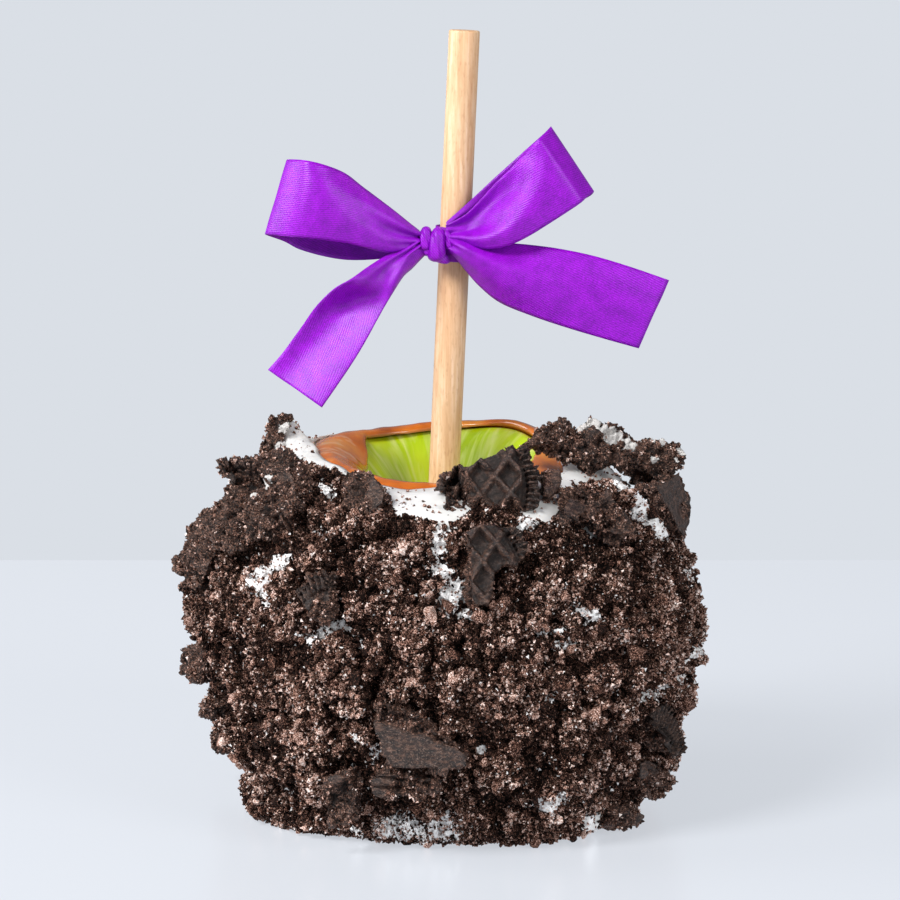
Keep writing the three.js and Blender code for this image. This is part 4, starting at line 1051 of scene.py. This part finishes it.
def crumb_core(look):
    """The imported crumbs: clods and crevices in relief, pressed away under the larger pieces."""
    inside = 2 * GAP + WHITE

    def end(angle):
        strays = ragged_round(angle, 6, 2, lambda at: noise.fractal(at, 0.8, 2, 4))
        return t_at_radius(rim_radius(CRUMB_RIM, angle) + 1.6 * strays)

    def outer(t, angle):
        return inside + CRUMBS + (CRUMB_EDGE - CRUMBS) * near_rim(t, angle, CRUMB_RIM)

    mesh, t, angle, out, away = shell(420, 232, end, outer, lambda t, a: 0 * t + inside - 1.2,
                                      outside=0.93, front=0.42, base=0.06)
    smooth_coat = on_skin(t, angle, away)
    p = swollen(smooth_coat)
    z = p[:, 2]
    relief, open_to_light = relief_of(p)
    bare = bare_places(p)
    taper = 1 - 0.55 * near_rim(t, angle, CRUMB_RIM)
    pressed, covered = near_pieces(p)
    clean = smooth(bare, 0.95, 1.1)  # where the white coating itself shows, smooth
    height = relief * taper * (1 - clean) - 0.8 - 0.8 * np.minimum(bare, 1) * (1 - clean) - pressed
    # a thin layer of crumbs always stays on the white coat
    swell = ((p - smooth_coat) * outwards_from_middle(p)).sum(1)
    lowest = GAP + WHITE + 0.5 - outer(t, angle) - swell
    height = np.where(covered, height, np.maximum(height, lowest))
    height = np.where(height < 0, height * smooth(z, 0.5, 6), height)  # no pits in the foot's edge
    p += outwards_from_middle(p) * (np.clip(height, -5, 4) * out * smooth(z, -3, 5))[:, None]
    # the foot is ragged, with gaps under its edge
    edge = smooth(np.hypot(p[:, 0], p[:, 1]), 33, 38)
    lift = 1.4 * smooth(rough(p, 6, 2, 15), 0.15, 0.5) * edge * (1 - smooth(p[:, 2], 1, 5))
    p[:, 2] = np.maximum(p[:, 2], 0.15) + lift
    p = drawn_in(p)
    mesh.vertices.foreach_set("co", p.ravel())
    # how open to the light, which the materials paint as shade
    put(mesh, "open", open_to_light)
    put(mesh, "bare", np.minimum(bare, 1.2) * out)
    put(mesh, "relief", np.clip((height + 0.6) / 2.2, -1.5, 1.2))
    put(mesh, "shows", out * smooth(p[:, 2], 0.1, 0.6))
    return finished("crumb_core", mesh, look, ["crumb_coat"])


def sample(piece, count, rng, weight):
    """Places spread evenly over a mesh in millimetres, by a weight for each vertex: points, normals
    and a corner of each point's face."""
    mesh = piece.data
    mesh.calc_loop_triangles()
    corners = np.empty(len(mesh.loop_triangles) * 3, int)
    mesh.loop_triangles.foreach_get("vertices", corners)
    corners = corners.reshape(-1, 3)
    # in one fixed order, since a mesh can list its faces in another one on the next run
    first = corners.argmin(1)[:, None]
    corners = np.take_along_axis(corners, (first + np.arange(3)) % 3, 1)
    corners = corners[np.lexsort(corners.T)]
    p = coordinates(mesh) / MM
    a, b, c = (p[corners[:, i]] for i in range(3))
    normal = np.cross(b - a, c - a)
    area = np.linalg.norm(normal, axis=1)
    chance = area * weight[corners].mean(1)
    chosen = rng.choice(len(corners), count, p=chance / chance.sum())
    u, v = rng.random((2, count, 1))
    u, v = np.where(u + v > 1, 1 - u, u), np.where(u + v > 1, 1 - v, v)
    place = a[chosen] + (b - a)[chosen] * u + (c - a)[chosen] * v
    return place, normal[chosen] / np.maximum(area[chosen], 1e-9)[:, None], corners[chosen, 0]


def crumb_shapes(rng, across, up, kinds=8):
    """A few broken crumbs of unit size, of which every grain is a turned and stretched copy."""
    shapes = []
    for _ in range(kinds):
        bm = bmesh.new()
        bmesh.ops.create_uvsphere(bm, u_segments=across, v_segments=up, radius=0.5)
        for vert in bm.verts:
            vert.co *= 0.65 + 0.6 * rng.random()
            vert.co += Vector(rng.normal(0, 0.09, 3))
        bmesh.ops.triangulate(bm, faces=bm.faces)
        bm.verts.index_update()
        shapes.append((np.array([vert.co for vert in bm.verts]),
                       np.array([[vert.index for vert in face.verts] for face in bm.faces])))
        bm.free()
    return shapes


def shard_shapes(rng, kinds=12):
    """Sharp splinters of unit size with four faces, for the finest grit."""
    corners = np.array([(1, 1, 1), (1, -1, -1), (-1, 1, -1), (-1, -1, 1)], float)
    faces = np.array([(0, 1, 2), (0, 3, 1), (0, 2, 3), (1, 3, 2)])
    return [(0.36 * corners + rng.normal(0, 0.11, (4, 3)), faces) for _ in range(kinds)]


def turns(count, rng):
    """Random rotations, as matrices."""
    q = rng.normal(size=(count, 4))
    w, x, y, z = (q / np.linalg.norm(q, axis=1, keepdims=True)).T
    return np.stack([
        1 - 2 * (y * y + z * z), 2 * (x * y - z * w), 2 * (x * z + y * w),
        2 * (x * y + z * w), 1 - 2 * (x * x + z * z), 2 * (y * z - x * w),
        2 * (x * z - y * w), 2 * (y * z + x * w), 1 - 2 * (x * x + y * y),
    ], 1).reshape(-1, 3, 3)


def sizes_between(low, high, count, rng):
    """Grain sizes, of which most are small."""
    return np.exp(rng.uniform(math.log(low), math.log(high), count))


def strewn(name, places, sizes, tones, shapes, rng, look):
    """All grains of one kind as one mesh."""
    count = len(places)
    turn = turns(count, rng)
    stretch = sizes[:, None] * rng.uniform(0.65, 1.25, (count, 3))
    kind = rng.integers(len(shapes), size=count)
    all_points, all_faces, all_tones, start = [], [], [], 0
    for k, (points, faces) in enumerate(shapes):
        chosen = np.flatnonzero(kind == k)
        local = points[None] * stretch[chosen][:, None]
        placed = np.einsum("nij,nkj->nki", turn[chosen], local) + places[chosen][:, None]
        placed[..., 2] = np.maximum(placed[..., 2], 0.02)  # none reaches into the table
        all_points.append(placed.reshape(-1, 3))
        shift = start + np.arange(len(chosen))[:, None, None] * len(points)
        all_faces.append((faces[None] + shift).reshape(-1, 3))
        all_tones.append(np.repeat(np.clip(tones[chosen], 0, 1), len(points)))
        start += len(chosen) * len(points)
    points, faces = np.concatenate(all_points), np.concatenate(all_faces)
    mesh = bpy.data.meshes.new(name)
    mesh.vertices.add(len(points))
    mesh.vertices.foreach_set("co", points.ravel())
    mesh.loops.add(faces.size)
    mesh.loops.foreach_set("vertex_index", faces.ravel().astype(np.int32))
    mesh.polygons.add(len(faces))
    mesh.polygons.foreach_set("loop_start", np.arange(0, faces.size, 3, dtype=np.int32))
    mesh.update(calc_edges=True)
    put(mesh, "tone", np.concatenate(all_tones))
    return finished(name, mesh, look, smooth_shaded=False)


def attribute(piece, name):
    """The number that each vertex of a piece carries."""
    values = np.empty(len(piece.data.vertices), np.float32)
    piece.data.attributes[name].data.foreach_get("value", values)
    return values


def crumbs_on_core(core, rng, shapes, brown, white):
    """The grains of the coat itself, with bits of white in and round its bare places."""
    shows, bare, relief, painted_light_reach = (attribute(core, name) for name in ("shows", "bare", "relief", "open"))
    # the shown side has the most
    shows = shows * (0.62 + 0.38 * smooth(-coordinates(core.data)[:, 1] / MM, -20, 10))
    clean = smooth(bare, 0.95, 1.1)
    packed = shows * (1 - 0.93 * smooth(bare, 0.3, 0.7)) * (1 - clean) * (0.7 + 0.3 * smooth(relief, -1, 0.2))
    for name, count, low, high, tone, spread, shape, sink in CRUMB_KINDS:
        place, normal, vertex = sample(core, count, rng, packed)
        size = sizes_between(low, high, count, rng)
        # painted shade: crumbs low in the relief and less open to the light are darker
        tones = rng.normal(tone, spread, count) + 0.13 * relief[vertex] + 0.13 * rough(place, 7, 2, 61)
        tones += 0.45 * (painted_light_reach[vertex] - 0.8)
        place = place + normal * (size * (0.5 - sink - 0.4 * rng.random(count)))[:, None]
        strewn(name, place, size, tones, shapes[shape], rng, brown)

    near_bare = shows * (0.03 + smooth(bare, 0.2, 0.7)) * (1 - 0.8 * clean)
    place, normal, _ = sample(core, WHITE_BITS, rng, near_bare)
    size = sizes_between(0.25, 0.85, WHITE_BITS, rng)
    strewn("white_bits", place + normal * (size * 0.25)[:, None], size, rng.random(WHITE_BITS),
           shapes["shard"], rng, white)


def crumbs_on_bare_places(core, rng, shapes, look):
    """Brown grains that stick where the white coating is bare."""
    bare = attribute(core, "bare")
    weight = attribute(core, "shows") * smooth(bare, 0.3, 0.7) * (1 - 0.7 * smooth(bare, 0.95, 1.1))
    place, normal, _ = sample(core, GRAINS_ON_BARE, rng, weight)
    size = sizes_between(0.35, 0.8, GRAINS_ON_BARE, rng)
    strewn("crumbs_on_bare_places", place + normal * (size * 0.3)[:, None], size,
           rng.normal(0.38, 0.12, GRAINS_ON_BARE), shapes["shard"], rng, look)


def crumbs_on_pieces(core, pieces, rng, shapes, look):
    """Grains on the larger pieces, many where they are crumbly and none where the coat covers them."""
    tree = BVHTree.FromObject(core, bpy.context.evaluated_depsgraph_get())
    found = []
    for index, (piece, made) in enumerate(zip(PIECES, pieces), 1):
        _, half, deep = extent(piece, index)
        area = 4 * half[0] * half[1] * (0.15 + 1.3 * piece["crumbly"]) + 4 * sum(half) * deep
        count = int(1.4 * area)
        patchy = 0.25 + 1.5 * smooth(rough(coordinates(made.data) / MM, 4, 2, index), -0.1, 0.4)
        weight = (0.03 + attribute(made, "crumbly") ** 2) * patchy * (1 - 0.9 * attribute(made, "cream"))
        place, normal, vertex = sample(made, count, rng, weight)
        size = sizes_between(0.3, 0.9, count, rng)
        place = place + normal * (size * (0.35 - 0.4 * rng.random(count)))[:, None]
        free = [tree.ray_cast(Vector(q) * MM, Vector(outwards_from_middle(q)))[0] is None for q in place]
        found.append((place[free], size[free], attribute(made, "open")[vertex[free]]))
    place, size, painted_light_reach = (np.concatenate(values) for values in zip(*found))
    # painted shade: crumbs less open to the light are darker
    tones = rng.normal(0.37, 0.19, len(place)) + 0.14 * rough(place, 5, 2, 62) + 0.5 * (painted_light_reach - 0.85)
    strewn("crumbs_on_pieces", place, size, tones, shapes["shard"], rng, look)


def crumbs_on_white(white, rng, shapes, look):
    """Grains strewn on the white coating round the hollow, fewer away from the crumbs."""
    p = coordinates(white.data) / MM
    radius = np.hypot(p[:, 0] + LEAN * LEAN_MIDDLE, p[:, 1])
    open_top = smooth(p[:, 2], 64, 68) * smooth(radius, 23, 27)
    weight = open_top * (0.1 + smooth(radius, 27, 38) + smooth(-p[:, 0], 26, 31))
    place, normal, _ = sample(white, GRAINS_ON_WHITE, rng, weight)
    size = sizes_between(0.3, 0.95, GRAINS_ON_WHITE, rng)
    strewn("crumbs_on_white", place + normal * (size * 0.25)[:, None], size,
           rng.normal(0.35, 0.14, GRAINS_ON_WHITE), shapes["fine"], rng, look)


def loose_crumbs(core, pieces, coat):
    """All that is strewn."""
    rng = np.random.default_rng(7)
    shapes = {"shard": shard_shapes(rng), "fine": crumb_shapes(rng, 4, 2), "coarse": crumb_shapes(rng, 5, 3)}
    brown, white = crumb_grain(), white_grain()
    crumbs_on_core(core, rng, shapes, brown, white)
    crumbs_on_bare_places(core, rng, shapes, brown)
    crumbs_on_pieces(core, pieces, rng, shapes, brown)
    crumbs_on_white(coat, rng, shapes, brown)


# ---- the stick and the bow ----


def birch_stick(look):
    """The dowel, its top edge rubbed round."""
    bm = bmesh.new()
    bmesh.ops.create_cone(bm, cap_ends=True, segments=72, radius1=STICK["radius"],
                          radius2=STICK["radius"], depth=STICK["length"])
    caps = [e for e in bm.edges if abs(e.verts[0].co.z - e.verts[1].co.z) < 1e-3]
    bmesh.ops.bevel(bm, geom=caps, offset=0.35, segments=3, profile=0.5, affect="EDGES", material=-1)
    for cut in range(1, 20):
        height = (cut / 20 - 0.5) * STICK["length"]
        bmesh.ops.bisect_plane(bm, geom=bm.verts[:] + bm.edges[:] + bm.faces[:], plane_co=(0, 0, height),
                               plane_no=(0, 0, 1))
    for vert in bm.verts:
        wobble = 1 + 0.006 * noise.noise(Vector((vert.co.x, vert.co.y, vert.co.z / 9)))
        vert.co.x *= wobble
        vert.co.y *= wobble
    place = Matrix.Translation(STICK["top"]) @ Matrix.Rotation(math.radians(STICK["lean"]), 4, "Y")
    bm.transform(place @ Matrix.Translation((0, 0, -STICK["length"] / 2)))
    return finished("birch_stick", bm, look, ["stick"])


# The ribbon as it is tied: rows of points across it, one after the other along it.
LEFT_LOOP = [
    [(-5.1, -6.4, 121.2), (-5, -6.8, 120.4), (-5, -6.5, 119.5), (-4.9, -6.9, 118.7), (-4.9, -6.4, 117.9)],
    [(-6.9, -7, 122.6), (-7.4, -8.2, 121.4), (-7.8, -7.5, 120), (-8.3, -8.6, 118.7), (-8.8, -7.4, 117.3)],
    [(-10, -7.6, 125.2), (-10.5, -9.6, 123.3), (-11.1, -9, 121.2),
     (-11.6, -10.2, 119.3), (-12.2, -9, 117.1)],
    [(-13.2, -8, 127.7), (-13.8, -10.6, 125.4), (-14.5, -10.8, 123),
     (-15.2, -11.4, 120.6), (-15.9, -10.6, 118.1)],
    [(-16.9, -8.4, 130.5), (-17.5, -11.6, 127.9), (-18.2, -12.4, 125.1),
     (-18.9, -12.6, 122.2), (-19.7, -12, 119.2)],
    [(-20.3, -9.4, 133.2), (-21, -12.6, 130), (-21.7, -13.6, 126.7),
     (-22.5, -13.6, 123.3), (-23.3, -13, 119.8)],
    [(-24.3, -11.8, 135.1), (-25, -13.6, 131.5), (-25.8, -14, 127.9),
     (-26.5, -14, 124.1), (-27.3, -13.6, 120.4)],
    [(-28.3, -12.2, 136.1), (-29.2, -12.6, 132.2), (-30.1, -12.8, 128.4),
     (-30.9, -12.8, 124.5), (-31.8, -12.4, 120.6)],
    [(-32.1, -7.5, 135.8), (-33.3, -7.5, 132), (-34.4, -7.5, 128.2),
     (-35.6, -7.5, 124.4), (-36.7, -7.5, 120.6)],
    [(-30.9, -3.4, 134.4), (-31.4, -3.2, 130.5), (-32, -3.2, 126.5),
     (-32.5, -3.2, 122.6), (-33, -3.4, 118.7)],
    [(-27.7, -2.2, 132.9), (-28.3, -1.8, 128.9), (-28.9, -1.6, 124.9),
     (-29.5, -1.8, 120.9), (-30, -2.4, 117)],
    [(-23.6, -1.6, 131.2), (-24, -1.2, 127.2), (-24.5, -1, 123.3),
     (-24.9, -1.4, 119.4), (-25.3, -2.2, 115.6)],
    [(-19.1, -1.4, 128.7), (-19.5, -1, 125.2), (-19.9, -0.8, 121.7),
     (-20.2, -1.4, 118.2), (-20.6, -2.2, 114.8)],
    [(-15, -1.4, 125.8), (-15.3, -1.2, 123), (-15.5, -1.2, 120.2),
     (-15.8, -1.6, 117.5), (-16, -2.4, 114.8)],
    [(-10.5, -2, 123), (-10.9, -2, 121), (-11.3, -2, 119.1), (-11.7, -2.4, 117.2), (-12.1, -3, 115.3)],
    [(-7.2, -2.8, 121.2), (-7.5, -3, 120), (-7.8, -2.8, 118.8), (-8.1, -3.2, 117.6), (-8.4, -3.4, 116.4)],
    [(-5.1, -3.6, 120.5), (-5.1, -3.8, 119.8), (-5, -3.6, 119.1), (-5, -3.8, 118.5), (-4.9, -3.6, 117.8)],
]
RIGHT_LOOP = [
    [(0.2, -6.4, 122.4), (0.3, -6.8, 121.7), (0.4, -6.3, 120.8), (0.5, -6.9, 120.1), (0.6, -6.4, 119.3)],
    [(2.5, -7, 123.5), (2.7, -6.2, 122.2), (2.9, -6.6, 121.1), (3.1, -8.4, 120.2), (3.3, -7.8, 118.9)],
    [(4.7, -7, 124.9), (4.9, -5.8, 123.1), (5.2, -6.6, 121.5), (5.5, -9.8, 120.1), (5.7, -9, 118.3)],
    [(7.4, -7, 127.7), (7.7, -6, 125.1), (8.1, -7.6, 122.7), (8.4, -11.2, 120.5), (8.8, -10.4, 117.9)],
    [(10.4, -7.4, 131.1), (11, -6.6, 127.8), (11.5, -10, 124.9), (12, -12.4, 121.9), (12.6, -11.4, 118.6)],
    [(13.5, -8, 134.2), (14.3, -8.2, 130.7), (15, -12, 127.5), (15.8, -13, 124.1), (16.7, -12, 120.5)],
    [(16.3, -9.6, 137.5), (17.6, -12, 134.1), (18.9, -13.2, 130.7),
     (20.3, -13, 127.2), (21.7, -12.2, 123.6)],
    [(18.5, -12.6, 139.9), (20.6, -13, 136.8), (22.8, -13, 133.6),
     (24.9, -12.8, 130.4), (27, -12.4, 127.1)],
    [(19.9, -11.2, 141.2), (22, -11.6, 138.1), (24.2, -11.6, 134.8),
     (26.4, -11.4, 131.6), (28.6, -11, 128.3)],
    [(21.5, -8, 142.6), (23.7, -8, 139.3), (25.9, -8, 136), (28.1, -8, 132.7), (30.3, -8, 129.4)],
    [(20.4, -4.4, 141.1), (22.6, -4.4, 138.2), (24.9, -4.4, 134.9),
     (27.1, -4.4, 131.4), (29.3, -4.4, 127.9)],
    [(16.9, -2.6, 137.8), (18.7, -2.6, 135.8), (20.5, -2.6, 132.3), (22.2, -2.6, 128.9), (24, -2.6, 125.5)],
    [(13.3, -2.2, 134.5), (14.6, -2, 132.2), (15.9, -2, 129.5), (17.2, -2, 126.2), (18.5, -2, 123)],
    [(10.1, -2.4, 131.6), (11, -2, 129.4), (12, -1.8, 126.9), (12.9, -1.8, 123.9), (13.8, -1.8, 120.9)],
    [(7.2, -3, 128.9), (7.7, -2.8, 127), (8.2, -2.6, 124.8), (8.7, -2.4, 122.6), (9.3, -2.4, 120.1)],
    [(5, -3.8, 126.9), (5.2, -3.8, 125.3), (5.4, -3.6, 123.6), (5.6, -3.4, 121.8), (5.8, -3.4, 119.7)],
    [(2.5, -4.7, 124.7), (2.5, -4.7, 123.6), (2.6, -4.6, 122.4), (2.6, -4.5, 121.2), (2.7, -4.4, 119.8)],
    [(0.3, -5.2, 122.8), (0.3, -5.2, 122), (0.3, -5.2, 121.2), (0.4, -5.1, 120.4), (0.4, -5, 119.4)],
]
RIGHT_TAIL = [
    [(0.4, -6.4, 120.7), (0.5, -7, 119.9), (0.6, -6.5, 118.9), (0.7, -7, 118), (0.8, -6.4, 117)],
    [(3.5, -6.8, 120.2), (3.2, -8.6, 119.1), (3, -9.6, 118), (2.7, -8.4, 116.6), (2.5, -6, 115.2)],
    [(7.6, -6.8, 119.3), (6.7, -9.2, 118), (5.9, -10.8, 116.6), (5.1, -9, 114.8), (4.3, -5.8, 112.9)],
    [(12.1, -7, 118.8), (10.8, -9.6, 116.8), (9.6, -11.4, 114.8), (8.4, -9.8, 112.4), (7.2, -6.2, 109.7)],
    [(17.4, -7.6, 118.4), (15.8, -9.8, 115.7), (14.3, -11.4, 112.9),
     (12.8, -10.6, 109.9), (11.3, -7.6, 106.6)],
    [(23.5, -8.6, 117.7), (22, -10.2, 114.5), (20.5, -11, 111.2), (19, -10.6, 107.7), (17.6, -9, 104.1)],
    [(30.4, -9, 116.3), (28.8, -10.2, 112.8), (27.2, -10.4, 109.2),
     (25.7, -10.2, 105.6), (24.1, -9.4, 101.9)],
    [(37.8, -9, 114.1), (36.2, -9.8, 110.5), (34.7, -10, 106.9), (33.2, -9.8, 103.3), (31.7, -9.4, 99.6)],
    [(45.8, -8.6, 111.3), (44.3, -9, 107.8), (42.7, -9.3, 104.4), (41.2, -9.3, 100.9), (39.7, -9, 97.3)],
]
LEFT_TAIL = [
    [(-5.3, -6.8, 119.8), (-5.2, -7.4, 119.3), (-5.1, -7, 118.8), (-5, -7.6, 118.3),
     (-4.9, -7.2, 117.7), (-3.7, -5.4, 116.7)],
    [(-9, -7.6, 117.4), (-8.5, -8.4, 117.2), (-7.9, -8, 116.8), (-7.4, -8.6, 116.6),
     (-6.9, -8.6, 116.3), (-5.3, -5.6, 115.1)],
    [(-12.4, -9.4, 116.1), (-11.4, -9.6, 115.7), (-10.4, -9.2, 115.1), (-9.4, -9.2, 114.7),
     (-8.4, -9.6, 114.2), (-6.8, -6, 113.5)],
    [(-16, -12.4, 114.2), (-14.4, -11.6, 113.6), (-12.9, -10.4, 112.9), (-11.3, -9.8, 112.2),
     (-9.7, -10.2, 111.7), (-8.6, -7, 111.9)],
    [(-19.2, -15, 112.1), (-17.2, -13.6, 111.3), (-15.2, -12, 110.4), (-13.2, -10.4, 109.5),
     (-11.2, -10.4, 108.9), (-10.8, -9.4, 108.7)],
    [(-22.1, -13.6, 110.3), (-19.8, -11.4, 109), (-17.5, -10, 107.9), (-15.2, -10.2, 106.9),
     (-12.8, -11, 106), (-12.6, -10.6, 105.8)],
    [(-24.4, -12, 108.2), (-22, -9.6, 106.7), (-19.5, -9.2, 105.3), (-17, -10.6, 104.2),
     (-14.4, -12, 103.1), (-14.3, -11.6, 103)],
    [(-26.7, -10.8, 105.6), (-24.1, -9, 104), (-21.4, -9.6, 102.6), (-18.7, -11.4, 101.4),
     (-16.1, -12.8, 100.1), (-15.9, -12.4, 100)],
    [(-28.9, -10, 102.4), (-26.2, -9, 100.8), (-23.5, -10, 99.4), (-20.7, -12, 98.2),
     (-18, -13.4, 96.9), (-17.8, -13, 96.8)],
    [(-31.2, -9.4, 99.2), (-28.5, -9.1, 97.6), (-25.7, -10.4, 96.2), (-23, -12.4, 94.9),
     (-20.2, -13.8, 93.5), (-20.1, -13.4, 93.3)],
    [(-33.4, -9, 96.2), (-30.8, -9.3, 94.5), (-28.1, -10.8, 93), (-25.4, -12.8, 91.5),
     (-22.7, -14.2, 89.9), (-22.5, -13.8, 89.8)],
    [(-36.3, -8.4, 92.8), (-33.6, -9.3, 91), (-30.8, -11.2, 89.4), (-28.1, -13.2, 87.8),
     (-25.4, -14.6, 86.1), (-25.2, -14.2, 85.9)],
]


def along_rows(rows, along, across):
    """A point of the smooth sheet through rows of points, at shares of the way along and across."""

    def curve(points, share):
        last = len(points) - 1
        at = min(max(share, 0), 1) * last
        i = min(int(at), last - 1)
        w = at - i
        a, b = points[i], points[i + 1]
        before = points[i - 1] if i else 2 * a - b
        after = points[i + 2] if i + 2 <= last else 2 * b - a
        leave, arrive = (b - before) / 2, (after - a) / 2
        cubic, square = 2 * a - 2 * b + leave + arrive, 3 * b - 3 * a - 2 * leave - arrive
        return ((cubic * w + square) * w + leave) * w + a

    return curve([curve([Vector(p) for p in row], across) for row in rows], along)


def ribbon_band(bm, uv, rows, pleats):
    """One strip of ribbon, pleated as it nears the knot."""
    steps = 9 * (len(rows) - 1)
    made = bmesh.ops.create_grid(bm, x_segments=steps, y_segments=20, size=0.5)
    where = {}
    for vert in made["verts"]:
        along, across = vert.co.x + 0.5, vert.co.y + 0.5
        where[vert] = (along, across)
        point = along_rows(rows, along, across)
        top, bottom = along_rows(rows, along, 0), along_rows(rows, along, 1)
        ahead, behind = along_rows(rows, along + 0.01, across), along_rows(rows, along - 0.01, across)
        out = (ahead - behind).cross(top - bottom).normalized()
        gathered = max(0, 1 - (top - bottom).length / FLAT_FROM) ** 1.3
        fold = pleats * gathered * math.sin(2 * math.pi * (2.6 * across + 0.25))
        vert.co = point + out * fold
    middles = [along_rows(rows, i / steps, 0.5) for i in range(steps + 1)]
    length = sum((b - a).length for a, b in zip(middles, middles[1:]))
    for face in {f for vert in made["verts"] for f in vert.link_faces}:
        for loop in face.loops:
            along, across = where[loop.vert]
            loop[uv].uv = (across * RIBBON_WIDTH, along * length)


def knot(bm, uv, at, size, lean, folds):
    """A turn of the knot: a fat rounded wrap, wider below, with creases along it."""
    made = bmesh.ops.create_uvsphere(bm, u_segments=48, v_segments=36, radius=1)
    for vert in made["verts"]:
        x, y, z = vert.co
        crease = 1 + folds * math.cos(9 * x + 4 * z) * (1 - z * z)
        flat = math.copysign(abs(z) ** 0.9, z)
        wide = (1 - 0.16 * z) / max(1e-3, math.sqrt(max(1 - z * z, 0))) * (1 - z ** 4) ** 0.5
        vert.co = Vector((x * wide * size[0] * crease, y * wide * size[1] * crease, flat * size[2]))
    bmesh.ops.rotate(bm, verts=made["verts"], cent=(0, 0, 0), matrix=Matrix.Rotation(lean, 3, "Y"))
    bmesh.ops.translate(bm, verts=made["verts"], vec=at)
    for face in {f for vert in made["verts"] for f in vert.link_faces}:
        for loop in face.loops:
            co = loop.vert.co - Vector(at)
            loop[uv].uv = (co.x * 0.6 + co.z * 0.9 + 5, co.z * 0.5 - co.x)


def turn_round_stick(bm):
    """The band of ribbon that holds the bow on the stick."""
    ring = bmesh.ops.create_cone(bm, cap_ends=False, segments=48, radius1=TURN["radius"],
                                 radius2=TURN["radius"], depth=TURN["wide"])["verts"]
    lean = math.radians(STICK["lean"])
    bmesh.ops.rotate(bm, verts=ring, cent=(0, 0, 0), matrix=Matrix.Rotation(lean, 3, "Y"))
    across = (TURN["at"] - STICK["top"][2]) * math.tan(lean)
    bmesh.ops.translate(bm, verts=ring, vec=(STICK["top"][0] + across, 0, TURN["at"]))


def satin_bow(look):
    """The bow, tied from one ribbon: two loops, two tails, the knot and the turn round the stick."""
    bm = bmesh.new()
    uv = bm.loops.layers.uv.new("ribbon")
    for rows, pleats in ((LEFT_LOOP, 0.8), (RIGHT_LOOP, 0.4), (RIGHT_TAIL, 0.5), (LEFT_TAIL, 0.5)):
        ribbon_band(bm, uv, rows, pleats)
    turn_round_stick(bm)
    mesh = bpy.data.meshes.new("ribbon")
    bm.to_mesh(mesh)
    bm.free()
    bm = bmesh.new()
    bm.from_mesh(with_modifier(mesh, "SOLIDIFY", thickness=RIBBON_THICKNESS, offset=0))
    uv = bm.loops.layers.uv["ribbon"]
    for at, size, lean, folds in KNOT:
        knot(bm, uv, at, size, lean, folds)
    piece = finished("satin_bow", bm, look, ["ribbon_bow"])
    return piece


# ---- the stage ----


def area_light(name, at, size, power):
    """A soft round studio light, aimed at the middle of the object, that the camera doesn't see."""
    light = bpy.data.lights.new(name, "AREA")
    light.shape, light.size, light.energy = "DISK", size, power
    lamp = bpy.data.objects.new(name, light)
    lamp.location = at
    lamp.rotation_euler = (Vector(LIT_POINT) - Vector(at)).to_track_quat("-Z", "Y").to_euler()
    lamp.visible_camera = False
    bpy.context.collection.objects.link(lamp)


def table_top():
    """A pale glossy table top, with a bright room's reflection in it."""
    look, _ = material("pale_lacquered_table", Roughness=0.25, IOR=1.45, Base_Color=colour("#7c7e82"),
                       Emission_Color=colour("#e4e9f1"), Emission_Strength=0.66)
    bm = bmesh.new()
    bmesh.ops.create_grid(bm, x_segments=1, y_segments=1, size=0.5)
    bmesh.ops.scale(bm, vec=(2, 1.2, 1), verts=bm.verts)
    bmesh.ops.translate(bm, vec=(0, TABLE_BACK_EDGE - 0.6, 0), verts=bm.verts)
    mesh = bpy.data.meshes.new("table_top")
    bm.to_mesh(mesh)
    bm.free()
    mesh.materials.append(look)
    table = bpy.data.objects.new("table_top", mesh)
    bpy.context.collection.objects.link(table)


def pale_room():
    """A plain pale background. It lights the table less than it shows behind it, so that the key light
    has some say."""
    world = bpy.data.worlds.new("pale_room")
    bpy.context.scene.world = world
    world.use_nodes = True
    room = world.node_tree
    background = room.nodes["Background"]
    background.inputs["Color"].default_value = colour("#dadfe6")
    rays = add(room, "LightPath").outputs["Is Camera Ray"]
    strength = add(room, "MapRange", {"Value": rays, "To Min": 0.32, "To Max": 1.0})
    room.links.new(strength.outputs[0], background.inputs["Strength"])
    bpy.context.scene.view_settings.view_transform = "Standard"


def camera():
    """A long lens, a little above the object."""
    lens = bpy.data.cameras.new("camera")
    lens.sensor_width, lens.lens = 36, CAMERA["lens"]
    holder = bpy.data.objects.new("camera", lens)
    bpy.context.collection.objects.link(holder)
    up, aim = math.radians(CAMERA["up"]), Vector(CAMERA["aim"])
    holder.location = aim + CAMERA["far"] * Vector((0, -math.cos(up), math.sin(up)))
    holder.rotation_euler = (aim - holder.location).to_track_quat("-Z", "Y").to_euler()
    bpy.context.scene.camera = holder


table_top()
pale_room()
for light in LIGHTS:
    area_light(*light)
camera()

green_fruit(fruit_skin())
caramel_coat(caramel_gloss())
coat = white_coat(white_coating())
core = crumb_core(crumb_bed())
biscuit = baked_biscuit()
pieces = [biscuit_piece(piece, i, biscuit) for i, piece in enumerate(PIECES, 1)]
loose_crumbs(core, pieces, coat)
birch_stick(birch())
satin_bow(satin())
